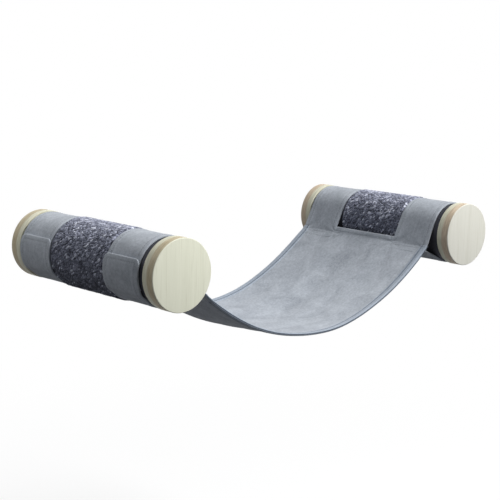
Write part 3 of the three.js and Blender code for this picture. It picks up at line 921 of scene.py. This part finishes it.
def sag_height(x):
    share = x / RIGHT_SEAM.x
    chord = (LEFT_SEAM.y + RIGHT_SEAM.y) / 2 + share * (RIGHT_SEAM.y - LEFT_SEAM.y) / 2
    return chord - SAG * (1 - share * share)


def sling_line():
    left_tab, right_tab = tangent_degrees("left")[0], tangent_degrees("right")[0]
    left = [on_roller("left", TAB_R, a) for a in np.linspace(TAB_END_DEG, left_tab, 90)]
    right = [on_roller("right", TAB_R, a) for a in np.linspace(right_tab, TAB_END_DEG, 90)]
    sag = [(x, sag_height(x)) for x in np.linspace(LEFT_SEAM.x, RIGHT_SEAM.x, 200)]
    return Line(left + sag + right, SLING_SOFT, (0, 1))


def strap_line(side):
    """Square below the sling in the lap, then round the roller and up on to the tab."""
    lap = []
    for inset in np.linspace(LAP, LAP_END, 12):
        x = SEAMS[side].x + INWARD[side] * inset
        tilt = math.atan((sag_height(x + MM) - sag_height(x - MM)) / (2 * MM))
        lap.append((x + STRAP_UNDER * math.sin(tilt), sag_height(x) - STRAP_UNDER * math.cos(tilt)))
    wrap = []
    for degrees in np.linspace(tangent_degrees(side)[1], FLAP_END_DEG, 160):
        share = (CLIMB_FROM_DEG - degrees) / (CLIMB_FROM_DEG - CLIMB_TO_DEG)
        share = min(1.0, max(0.0, share))
        eased = share * share * (3 - 2 * share)
        wrap.append(on_roller(side, TAB_R + (FLAP_R - TAB_R) * eased, degrees))
    return Line(lap + wrap, STRAP_SOFT, (0, -1))


SLING_LINE = sling_line()
STRAP_LINES = {side: strap_line(side) for side in INWARD}
print("sling line", round(SLING_LINE.long, 4), "strap lines",
      {side: round(line.long, 4) for side, line in STRAP_LINES.items()})

# %% [markdown]
# ## Cutting and hanging cloth
#
# A cloth starts as it is cut: a flat grid, whose UV map keeps the flat lengths. Hems
# are the folded edges. A fold doubles the cloth, and the row of stitches that holds it
# pulls it thin again along one line. The thickness of every point therefore comes from
# its distance to the edge of the cut, kept in a vertex group that Solidify reads.

# %% Cut and hang
CLOTH_T, HEM_T = 2.0 * MM, 2.7 * MM
FOLD_SOFT = 0.4 * MM
PRESSED_W, PRESSED = 0.8 * MM, 0.3  # a groove or the cut edge thins the cloth by this share
# Painted light on the hem attribute: a painted highlight on the cut edge, on the fold line and
# faintly over the whole hem, and painted shade in the stitch groove.
EDGE_HIGHLIGHT_W, EDGE_HIGHLIGHT = 1.2 * MM, 0.35
LINE_W, FOLD_HIGHLIGHT, GROOVE_SHADE = 0.9 * MM, 0.25, 0.4
HEM_HIGHLIGHT = 0.08
EDGE_BEVEL = 0.55 * MM
EDGE_ANGLE = math.radians(60)


def bell(d, width):
    """1 where d is nought, and almost nothing past twice the width."""
    return np.exp(-(d / width) ** 2)


class Cut:
    """A cut cloth: the hem's width, its rows of stitches, the distance to the edge, and
    how strongly its painted highlights show."""

    def __init__(self, hem, rows, distance, worn):
        self.hem, self.rows, self.distance, self.worn = hem, rows, distance, worn

    def fold(self, d):
        """1 in the hem, 0 beyond it."""
        return 1 / (1 + np.exp((d - self.hem) / FOLD_SOFT))

    def groove(self, d, width):
        return sum(bell(d - row, width) for row in self.rows)

    def thickness(self, run, across):
        d = self.distance(run, across)
        body = CLOTH_T + (HEM_T - CLOTH_T) * self.fold(d)
        return body * (1 - PRESSED * self.groove(d, PRESSED_W)) * (1 - PRESSED * bell(d, PRESSED_W))

    # The hem attribute: painted highlight on the cut edge, the fold line and the hem, minus painted
    # shade in the stitch groove.
    def hem_painted_light(self, run, across):
        d = self.distance(run, across)
        light = (EDGE_HIGHLIGHT * bell(d, EDGE_HIGHLIGHT_W) + FOLD_HIGHLIGHT * bell(d - self.hem, LINE_W)
                 + HEM_HIGHLIGHT * self.fold(d))
        return np.clip(self.worn * light - GROOVE_SHADE * self.groove(d, LINE_W), -1, 1)


def spaced(total, fine, step):
    """Places from 0 to total: all the fine ones, and even steps in between."""
    marks = sorted({0.0, total, *[f for f in fine if 0 < f < total]})
    places = [marks[0]]
    for a, b in zip(marks, marks[1:]):
        count = max(1, math.ceil((b - a) / step - 1e-6))
        places += [a + (b - a) * k / count for k in range(1, count + 1)]
    return np.array(places)


def places_of(cloth):
    co = np.empty(len(cloth.data.vertices) * 3)
    cloth.data.vertices.foreach_get("co", co)
    return co.reshape(-1, 3)


def flat_cloth(name, runs, acrosses, keep=None):
    """A flat grid with its lines at these places; keep says which cells stay."""
    start_clean()
    bpy.ops.mesh.primitive_grid_add(
        x_subdivisions=len(runs) - 1, y_subdivisions=len(acrosses) - 1, size=2,
    )
    cloth = bpy.context.object
    cloth.name = name
    mesh = cloth.data
    co = places_of(cloth)
    i = np.rint((co[:, 0] + 1) / 2 * (len(runs) - 1)).astype(int)
    j = np.rint((co[:, 1] + 1) / 2 * (len(acrosses) - 1)).astype(int)
    co[:, 0], co[:, 1] = runs[i], acrosses[j]
    mesh.vertices.foreach_set("co", co.ravel())
    corners = np.empty(len(mesh.loops), int)
    mesh.loops.foreach_get("vertex_index", corners)
    mesh.uv_layers.active.data.foreach_set("uv", co[corners, :2].ravel())
    if keep:
        shape = bmesh.new()
        shape.from_mesh(mesh)
        gone = [f for f in shape.faces if not keep(*f.calc_center_median()[:2])]
        bmesh.ops.delete(shape, geom=gone, context="FACES")
        shape.to_mesh(mesh)
        shape.free()
    return cloth


def hang(cloth, cut, place):
    """Carries the flat points to their place, and gives the cloth its thickness."""
    run, across = places_of(cloth)[:, :2].T
    thick = cut.thickness(run, across)
    masks = cut.hem_painted_light(run, across)
    group = cloth.vertex_groups.new(name="thickness")
    for index, share in enumerate(thick / HEM_T):
        group.add([index], float(share), "REPLACE")
    cloth.data.attributes.new("hem", "FLOAT", "POINT").data.foreach_set("value", masks)
    cloth.data.vertices.foreach_set("co", place(run, across, 0).ravel())
    wall = cloth.modifiers.new("thickness", "SOLIDIFY")
    wall.thickness = HEM_T
    wall.offset = 0
    wall.vertex_group = "thickness"
    wall.use_even_offset = True
    apply_all(cloth)
    soften_edge(cloth)
    outwards(cloth)
    bpy.ops.object.shade_smooth_by_angle(angle=EDGE_ANGLE)


def soften_edge(cloth):
    """Rounds the cloth's cut edge, where the two faces meet the wall between them."""
    bevel = cloth.modifiers.new("edge", "BEVEL")
    bevel.width = EDGE_BEVEL
    bevel.segments = 2
    bevel.limit_method = "ANGLE"
    bevel.angle_limit = EDGE_ANGLE
    apply_all(cloth)


def outwards(piece):
    shape = bmesh.new()
    shape.from_mesh(piece.data)
    if shape.calc_volume(signed=True) < 0:
        bmesh.ops.reverse_faces(shape, faces=shape.faces)
    shape.to_mesh(piece.data)
    shape.free()


print("cloth tools ready")

# %% [markdown]
# ## Stitches
#
# A stitch is a short, fat piece of thread pulled into the cloth at both ends. One is
# modelled from a small sphere, and it is copied along each row. Rows run in the flat
# cut, and the same rule that hangs the cloth carries them to their place.

# %% Stitches
STITCH_LONG, STITCH_THICK, STITCH_PITCH = 2.7 * MM, 0.62 * MM, 3.5 * MM
LOOK_AHEAD = 0.4 * MM  # from a place on the row to the point that gives its direction


def one_stitch():
    start_clean()
    bpy.ops.mesh.primitive_uv_sphere_add(segments=6, ring_count=5, radius=0.5)
    stitch = bpy.context.object
    co = np.array([v.co for v in stitch.data.vertices])
    faces = [list(p.vertices) for p in stitch.data.polygons]
    bpy.data.objects.remove(stitch)
    co = co[:, [2, 0, 1]] * np.array((STITCH_LONG, STITCH_THICK, STITCH_THICK))
    return co, faces


STITCH_CO, STITCH_FACES = one_stitch()


def row_places(points, pitch):
    """Even places along a flat row, and a point a little ahead of each."""
    points = np.array(points, float)
    run = run_along(points)
    count = max(2, int(run[-1] / pitch))
    at = (np.arange(count) + 0.5) * run[-1] / count
    ahead_at = np.clip(at + LOOK_AHEAD, 0, run[-1])
    return read_off(at, run, points), read_off(ahead_at, run, points)


def stitches(name, rows, place, offsets):
    """One mesh with a stitch at each place of each row, at each height off the cloth."""
    vertices, faces = [], []
    for row in rows:
        here, there = row_places(row, STITCH_PITCH)
        for offset in offsets:
            a = place(here[:, 0], here[:, 1], offset)
            b = place(there[:, 0], there[:, 1], offset)
            c = place(here[:, 0], here[:, 1], offset + np.sign(offset) * MM)
            for start, ahead_of, out in zip(a, b, c):
                along = ahead_of - start
                along /= np.linalg.norm(along)
                square = out - start
                square -= along * (square @ along)
                square /= np.linalg.norm(square)
                turn = np.stack([along, np.cross(square, along), square])
                first = len(vertices)
                vertices.extend(start + STITCH_CO @ turn)
                faces.extend([[first + k for k in face] for face in STITCH_FACES])
    mesh = bpy.data.meshes.new(name)
    mesh.from_pydata([tuple(v) for v in vertices], [], faces)
    piece = bpy.data.objects.new(name, mesh)
    bpy.context.scene.collection.objects.link(piece)
    only(piece)
    outwards(piece)
    bpy.ops.object.shade_smooth()
    return piece


print("a stitch has", len(STITCH_FACES), "faces")

# %% [markdown]
# ## The sling
#
# The sling is one cloth with two tabs at each end. It lies over both rollers and hangs
# in between, deepest in the middle, and the cloth that nothing holds between the tabs
# bellies a little lower than the hems. Pulled cloth also ripples: long soft waves run
# from tab to tab, and short puckers fan out from each corner where a strap is sewn on.
# On the rollers the pull draws the front edge in, away from the disc. Between the seams
# a folded strip of cloth, the binding, wraps both long edges. Its row of stitches sits in
# a groove with painted shade, between two lines of painted highlight, and the binding's
# rounded top is painted lighter and its nose and underside darker, as light from above
# would fall on them.

# %% Sling
TAB_NARROWER = 1.5 * MM  # than the strap, which folds over the tab
TAB_W = STRAP_W - TAB_NARROWER - TRIM
TAB_DRAWN_IN, DRAWN_OVER = 2.0 * MM, 40 * MM
# The last value sets how strongly the sling's painted highlights show.
HEM_W, HEM_STITCH, SLING_HIGHLIGHT = 10 * MM, 7.4 * MM, 0.5
NOTCH_UP = 10 * MM
CLOTH_STEP = 3.4 * MM
CORNER_IN = 4 * MM
PUCKER_HIGH, PUCKER_REACH, PUCKER_CORE, PUCKER_FAN = 0.9 * MM, 26 * MM, 6 * MM, 7
CORNER_TURN = 90  # radians a metre, so that each corner's puckers lie their own way
WAVE_TAUT, WAVE_FREE, WAVE_FROM_SEAM = 0.5 * MM, 1.9 * MM, 60 * MM
SEAM_RUN = {side: SLING_LINE.run_near(*SEAMS[side]) for side in INWARD}
NOTCH_RUN = {"left": SEAM_RUN["left"] - NOTCH_UP, "right": SEAM_RUN["right"] + NOTCH_UP}
SLING_L = SLING_LINE.long


def sling_edge_distance(run, across):
    side = np.minimum(across, SLING_W - across)
    end = np.minimum(run, SLING_L - run)
    into_notch = np.maximum(TAB_W - side, 0)
    left_notch = np.hypot(np.maximum(run - NOTCH_RUN["left"], 0), into_notch)
    right_notch = np.hypot(np.maximum(NOTCH_RUN["right"] - run, 0), into_notch)
    return np.minimum.reduce([side, end, left_notch, right_notch])


SLING_CUT = Cut(HEM_W, [HEM_STITCH], sling_edge_distance, SLING_HIGHLIGHT)


def puckers(run, across):
    """Short ridges that fan out from the corners where the straps pull."""
    height = np.zeros_like(run)
    for seam in SEAM_RUN.values():
        for corner in (CORNER_IN, TAB_W, SLING_W - TAB_W, SLING_W - CORNER_IN):
            away_run, away_across = run - seam, across - corner
            away = np.hypot(away_run, away_across)
            fan = np.sin(PUCKER_FAN * np.arctan2(away_across, away_run) + corner * CORNER_TURN)
            height += np.exp(-away / PUCKER_REACH) * fan * (away / (away + PUCKER_CORE))
    return PUCKER_HIGH * height


def noise_on(run, across, runs_per_m, across_per_m, seed):
    """Smooth noise on the flat cut, from -1 to 1."""
    flat = zip(np.ravel(run * runs_per_m), np.ravel(across * across_per_m))
    return np.reshape([noise.noise(Vector((r, a, seed))) for r, a in flat], np.shape(run))


def inside_seams(run):
    """How far inside the two seams a place lies."""
    return np.minimum(run - SEAM_RUN["left"], SEAM_RUN["right"] - run)


def waves(run, across):
    """Long soft waves along the pull, and smaller ones on them."""
    rough = noise_on(run, across, 4.5, 16, 0.7) + 0.5 * noise_on(run, across, 11, 30, 4.2)
    free = np.clip(inside_seams(run) / WAVE_FROM_SEAM, 0, 1)
    return (WAVE_TAUT + WAVE_FREE * free) * rough


def drawn_in(run, across):
    """How far the pull on a roller draws the front tab away from the disc."""
    pull = TAB_DRAWN_IN * np.clip(-inside_seams(run) / DRAWN_OVER, 0, 1)
    return pull * np.clip(1 - across / TAB_W, 0, 1)


def sling_place(run, across, offset):
    run, across = np.asarray(run, float), np.asarray(across, float)
    point, out = SLING_LINE.at(run)
    along_x = np.clip(1 - (point[..., 0] / (RIGHT_SEAM.x - LAP)) ** 2, 0, None)
    across_share = 1 - (2 * across / SLING_W - 1) ** 2
    lift = puckers(run, across) + waves(run, across) + offset
    x = point[..., 0] + out[..., 0] * lift
    z = point[..., 1] + out[..., 1] * lift - DIP * along_x * across_share
    return np.stack([x, SLING_FRONT_Y + across + drawn_in(run, across), z], -1)


def in_sling(run, across):
    in_tab = min(across, SLING_W - across) < TAB_W
    return in_tab or NOTCH_RUN["left"] < run < NOTCH_RUN["right"]


HEM_LINES = [0, 0.5, 1.2, 2.4, 4.2, 5.8, 6.6, 7.4, 8.2, 9.2, 10, 11]  # mm from the edge


def hem_places(*edges):
    """The fine lines of a hem, on both sides of each edge."""
    return [edge + sign * line * MM for edge in edges for line in HEM_LINES for sign in (-1, 1)]


def make_sling():
    acrosses = spaced(SLING_W, hem_places(0, TAB_W, SLING_W - TAB_W, SLING_W), CLOTH_STEP)
    runs = spaced(SLING_L, hem_places(0, *NOTCH_RUN.values(), SLING_L), CLOTH_STEP)
    cloth = flat_cloth("sling", runs, acrosses, in_sling)
    hang(cloth, SLING_CUT, sling_place)
    dress(cloth, "sling", SUEDE, "root", ["sling_panel"])
    print("sling", len(cloth.data.polygons), "faces, cut", round(SLING_L, 3), "long")
    return cloth


ON_BINDING = 8.0 * MM
SEAM_ROWS = (4 * MM, 13 * MM)  # two rows sew each strap on
SEAM_SIDE = 3 * MM


def sling_rows():
    """Rows on the flat cut: bindings, tabs' ends, tabs' inner sides, notches and seams."""
    s, left, right = HEM_STITCH, NOTCH_RUN["left"], NOTCH_RUN["right"]
    rows = [[(s, a), (SLING_L - s, a)] for a in (ON_BINDING, SLING_W - ON_BINDING)]
    for a, b in ((s, TAB_W - s), (SLING_W - TAB_W + s, SLING_W - s)):
        rows += [[(run, a), (run, b)] for run in (s, SLING_L - s)]
    for inner in (TAB_W - s, SLING_W - TAB_W + s):
        rows += [[(s, inner), (left + s, inner)], [(right - s, inner), (SLING_L - s, inner)]]
    for run in (left + s, right - s):
        rows.append([(run, TAB_W - s), (run, SLING_W - TAB_W + s)])
    for side, seam in SEAM_RUN.items():
        for inset in SEAM_ROWS:
            run = seam + INWARD[side] * inset
            rows += [[(run, SEAM_SIDE), (run, STRAP_W - SEAM_SIDE)],
                     [(run, SLING_W - STRAP_W + SEAM_SIDE), (run, SLING_W - SEAM_SIDE)]]
    return rows


BINDING_STEP, BINDING_IN_SEAM = 2.5 * MM, 3 * MM
LYING_FLAT, FREE_OVER = 0.48, 12 * MM
SLING_STITCH_HIGH, SLING_STITCH_LOW = 1.25 * MM, -1.2 * MM


def free_share(run):
    """1 where the sling hangs free, 0 where it lies on a roller or on a strap."""
    return np.clip((inside_seams(run) - LAP) / FREE_OVER, 0, 1)


def binding_profile():
    """The strip round an edge: place across the cloth, height, and a painted tone: painted
    highlight on the rounded top and edges, painted shade in the stitch groove and round the nose.
    """
    top = [
        (12.0, 1.2, 0.3), (11.7, 1.75, 0.5), (10.5, 2.0, 0.25), (9.2, 2.0, 0.0),
        (8.6, 1.75, -0.4), (8.0, 1.5, -0.8), (7.4, 1.75, -0.4), (6.6, 2.1, 0.3),
        (4.0, 2.3, 0.15), (1.6, 2.35, 0.35), (0.2, 2.15, 0.5), (-0.8, 1.6, 0.3),
        (-1.25, 0.95, 0.0), (-1.15, 0.4, -0.5), (-0.75, 0.12, -1.0),
    ]
    # The underside is painted 0.15 darker again: painted shade below the edge.
    bottom = [(across, -height, tone - 0.15) for across, height, tone in reversed(top)]
    inside = [(12.0, -1.1, 0), (0.4, -1.1, 0), (-0.2, 0, 0), (0.4, 1.1, 0), (12.0, 1.1, 0)]
    return np.array(top + bottom + inside)


def make_binding(end):
    """Sweeps the strip's profile along one long edge of the sling."""
    profile = binding_profile()
    runs = np.arange(SEAM_RUN["left"] - BINDING_IN_SEAM, SEAM_RUN["right"] + BINDING_IN_SEAM,
                     BINDING_STEP)
    across = profile[:, 0] * MM
    if end == "rear":
        across = SLING_W - across
    height = np.tile(profile[:, 1] * MM, (len(runs), 1))
    thin_below = LYING_FLAT + (1 - LYING_FLAT) * free_share(runs)[:, None]
    height = np.where(height < 0, height * thin_below, height)
    where = sling_place(np.repeat(runs[:, None], len(across), 1),
                        np.tile(across, (len(runs), 1)), height)
    rings, points = len(runs), len(across)
    faces = [
        (r * points + k, r * points + (k + 1) % points,
         (r + 1) * points + (k + 1) % points, (r + 1) * points + k)
        for r in range(rings - 1) for k in range(points)
    ]
    faces += [tuple(range(points)), tuple(range((rings - 1) * points, rings * points))]
    mesh = bpy.data.meshes.new("binding")
    mesh.from_pydata([tuple(v) for v in where.reshape(-1, 3)], [], faces)
    # The profile's painted highlight and shade go into the hem attribute.
    tones = np.tile(profile[:, 2], rings)
    mesh.attributes.new("hem", "FLOAT", "POINT").data.foreach_set("value", tones)
    binding = bpy.data.objects.new("binding", mesh)
    bpy.context.scene.collection.objects.link(binding)
    close_up(binding)
    outwards(binding)
    bpy.ops.object.shade_smooth()
    dress(binding, f"sling_{end}_binding", BINDING, "root")
    return binding


sling = make_sling()
bindings = [make_binding(end) for end in ENDS]
sling_stitches = stitches("sling_stitches", sling_rows(), sling_place,
                          (SLING_STITCH_HIGH, SLING_STITCH_LOW))
dress(sling_stitches, "sling_stitches", THREAD, "root")
print("stitches", len(sling_stitches.data.polygons), "faces")

# %% [markdown]
# ## Straps and flaps
#
# A strap and its flap are one length of cloth. It is sewn under the sling, passes below
# the roller and comes up outside it, where it lies over the tab. The flap's free end
# has round corners with a row of stitches all along. The pull narrows the strap below
# the roller, on the side towards the disc.

# %% Straps
# The last value sets how strongly the straps' painted highlights show.
STRAP_HEM, STRAP_STITCH, STRAP_HIGHLIGHT = 12.5 * MM, 7.0 * MM, 0.8
STRAP_DRAWN_IN, STRAP_DRAWN_OVER = 4.5 * MM, 24 * MM  # below the flap, and up to its root
FLAP_IN = {"front": 0, "rear": 2 * MM}
CORNER_R = 9 * MM
CORNER_STITCHES = 7
STRAP_STEP = 1.15 * MM
STRAP_WAVE, STRAP_WAVES_PER_M = 0.35 * MM, 22
LOOSE_OVER, LEAST_LOOSE = 80 * MM, 0.25  # waves fade towards the flap's end
STRAP_STITCH_HIGH = 0.95 * MM


def strap_end(across, long):
    """Where the strap ends across its width: its two corners are round."""
    into = np.maximum(CORNER_R - np.minimum(across, STRAP_W - across), 0)
    return long - CORNER_R + np.sqrt(np.maximum(CORNER_R ** 2 - into ** 2, 0))


def strap_cut(long):
    def distance(run, across):
        side = np.minimum(across, STRAP_W - across)
        straight = np.minimum(side, long - run)
        from_side, from_end = CORNER_R - side, CORNER_R - (long - run)
        in_corner = (from_side > 0) & (from_end > 0)
        rounded = CORNER_R - np.hypot(np.maximum(from_side, 0), np.maximum(from_end, 0))
        return np.maximum(np.where(in_corner, rounded, straight), 0)
    return Cut(STRAP_HEM, [STRAP_STITCH], distance, STRAP_HIGHLIGHT)


def strap_place(side, end):
    """The rule that carries this strap's flat places to the roller."""
    line = STRAP_LINES[side]
    low_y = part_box(f"{side}_{end}_strap")[0].y
    root_run = line.run_near(*on_roller(side, FLAP_R, FLAP_ROOT_DEG))
    seed = 3.1 * (side == "right") + 1.7 * (end == "front")  # each strap waves its own way

    def place(run, across, offset):
        run, across = np.asarray(run, float), np.asarray(across, float)
        point, out = line.at(run)
        soft = noise_on(run, across, STRAP_WAVES_PER_M, STRAP_WAVES_PER_M, seed)
        loose = np.clip((line.long - run) / LOOSE_OVER, LEAST_LOOSE, 1)
        lift = STRAP_WAVE * soft * loose + offset
        x = point[..., 0] + out[..., 0] * lift
        z = point[..., 1] + out[..., 1] * lift
        before_root = (root_run + STRAP_DRAWN_OVER / 2 - run) / STRAP_DRAWN_OVER
        pull = STRAP_DRAWN_IN * np.clip(before_root, 0, 1) + FLAP_IN[end]
        share = across / STRAP_W
        inwards = pull * (1 - share) if end == "front" else -pull * share
        return np.stack([x, low_y + across + inwards, z], -1)

    return place


def strap_rows(long):
    """One row: up one side, round the flap's end and down the other side."""
    s = STRAP_STITCH
    corner = [
        (long - CORNER_R + (CORNER_R - s) * math.sin(t), CORNER_R - (CORNER_R - s) * math.cos(t))
        for t in np.linspace(0, math.pi / 2, CORNER_STITCHES)
    ]
    far = [(run, STRAP_W - across) for run, across in reversed(corner)]
    return [[(s, s), *corner, *far, (s, STRAP_W - s)]]


def make_strap(side, end):
    long = STRAP_LINES[side].long
    cut, place = strap_cut(long), strap_place(side, end)
    runs, acrosses = spaced(long, [], STRAP_STEP), spaced(STRAP_W, [], STRAP_STEP)
    cloth = flat_cloth(f"{side}_{end}_strap_cloth", runs, acrosses)
    flat = places_of(cloth)
    flat[:, 0] *= strap_end(flat[:, 1], long) / long
    cloth.data.vertices.foreach_set("co", flat.ravel())
    hang(cloth, cut, place)
    sewn = stitches(f"{side}_{end}_strap_stitches", strap_rows(long), place,
                    (STRAP_STITCH_HIGH, -STRAP_STITCH_HIGH))
    names = [f"{side}_{end}_strap", f"{side}_{end}_flap"]
    dress(cloth, cloth.name, SUEDE, None, names)
    dress(sewn, sewn.name, THREAD, None)
    for piece in (cloth, sewn):
        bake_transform(piece)
    print(cloth.name, len(cloth.data.polygons), "faces, cut", round(long, 3), "long")


for side in INWARD:
    for end in ENDS:
        make_strap(side, end)

# %% [markdown]
# ## Floor and light
#
# The studio is plain: a wide pale floor below the hammock and soft light. Tops and
# front faces are bright on the photograph and the outer sides dark, so one large lamp,
# the key, hangs above and before the hammock, to its right. Three weak lamps help: one
# overhead, one beside the left wall disc, and one behind for views from there. The
# surround adds a weak light from everywhere. The floor fades into white, which only the
# camera and reflections see. To the light it is a mid grey, so that it doesn't brighten
# the undersides.

# %% Floor and surround
FLOOR_Z = -0.62
FLOOR_R = 9.0
FLOOR_LIT, FLOOR_SEEN = colour(88, 89, 92), colour(252, 252, 252)
FADE_FROM, FADE_TO, LEAST_FADE = 0.3, 1.5, 0.72
SURROUND_TONE, SURROUND_LEVEL = (0.93, 0.96, 1.0, 1.0), 0.12


def seen_directly(tree):
    """1 for camera, glossy and transmission rays."""
    path = add(tree, "LightPath").outputs
    seen = path["Is Camera Ray"]
    for name in ("Is Glossy Ray", "Is Transmission Ray"):
        seen = maths(tree, "MAXIMUM", seen, path[name])
    return seen


def floor_finish():
    material, tree, shader = new_material("floor")
    seen = seen_directly(tree)
    tone = mixed(tree, seen, FLOOR_LIT, FLOOR_SEEN)
    feed(tree, {"Base Color": tone, "Roughness": 0.9}, shader.inputs)
    away = add(tree, "VectorMath", {0: object_place(tree)}, operation="LENGTH")
    far = add(tree, "MapRange", {"Value": away.outputs["Value"], "From Min": FADE_FROM,
                                 "From Max": FADE_TO, "To Min": LEAST_FADE},
              interpolation_type="SMOOTHSTEP")
    white = add(tree, "Emission", {"Strength": 1.0})
    whiteness = maths(tree, "MULTIPLY", far.outputs["Result"], seen)
    mix = add(tree, "MixShader", {"Fac": whiteness, 1: shader.outputs["BSDF"],
                                  2: white.outputs["Emission"]})
    feed(tree, {"Surface": mix.outputs["Shader"]}, tree.nodes["Material Output"].inputs)
    return material


def make_floor():
    start_clean()
    bpy.ops.mesh.primitive_circle_add(vertices=96, radius=FLOOR_R, fill_type="NGON")
    floor = bpy.context.object
    floor.name = "floor"
    floor.location = (0, 0, FLOOR_Z)
    floor.data.materials.append(floor_finish())


def make_surround():
    world = bpy.data.worlds.new("surround")
    world.use_nodes = True
    tree = world.node_tree
    soft = tree.nodes["Background"]
    feed(tree, {"Color": SURROUND_TONE, "Strength": SURROUND_LEVEL}, soft.inputs)
    white = add(tree, "Background", {"Color": (1, 1, 1, 1), "Strength": 1.0})
    mix = add(tree, "MixShader", {"Fac": seen_directly(tree), 1: soft.outputs["Background"],
                                  2: white.outputs["Background"]})
    feed(tree, {"Surface": mix.outputs["Shader"]}, tree.nodes["World Output"].inputs)
    bpy.context.scene.world = world


make_floor()
make_surround()

# %% Lamps
MID_HAMMOCK = (0, -0.16, -0.03)
LEFT_WALL_END = (-0.3, -0.08, 0)


def soft_lamp(name, place, size, power, target=MID_HAMMOCK):
    """A round area lamp; sizes are in metres and power in watts."""
    start_clean()
    bpy.ops.object.light_add(type="AREA", location=place)
    lamp = bpy.context.object
    lamp.name = name
    lamp.data.shape = "DISK"
    lamp.data.size = size
    lamp.data.energy = power
    way = Vector(target) - Vector(place)
    lamp.rotation_euler = way.to_track_quat("-Z", "Y").to_euler()


soft_lamp("key", (1.7, -2.66, 2.8), 2.1, 208)
soft_lamp("overhead", (0.0, -0.2, 2.4), 1.2, 14)
soft_lamp("wall_side", (-0.78, 0.12, 0.36), 0.3, 0.9, LEFT_WALL_END)
soft_lamp("from_behind", (0.2, 2.4, 0.25), 1.2, 12)
bpy.context.scene.view_settings.view_transform = "Standard"
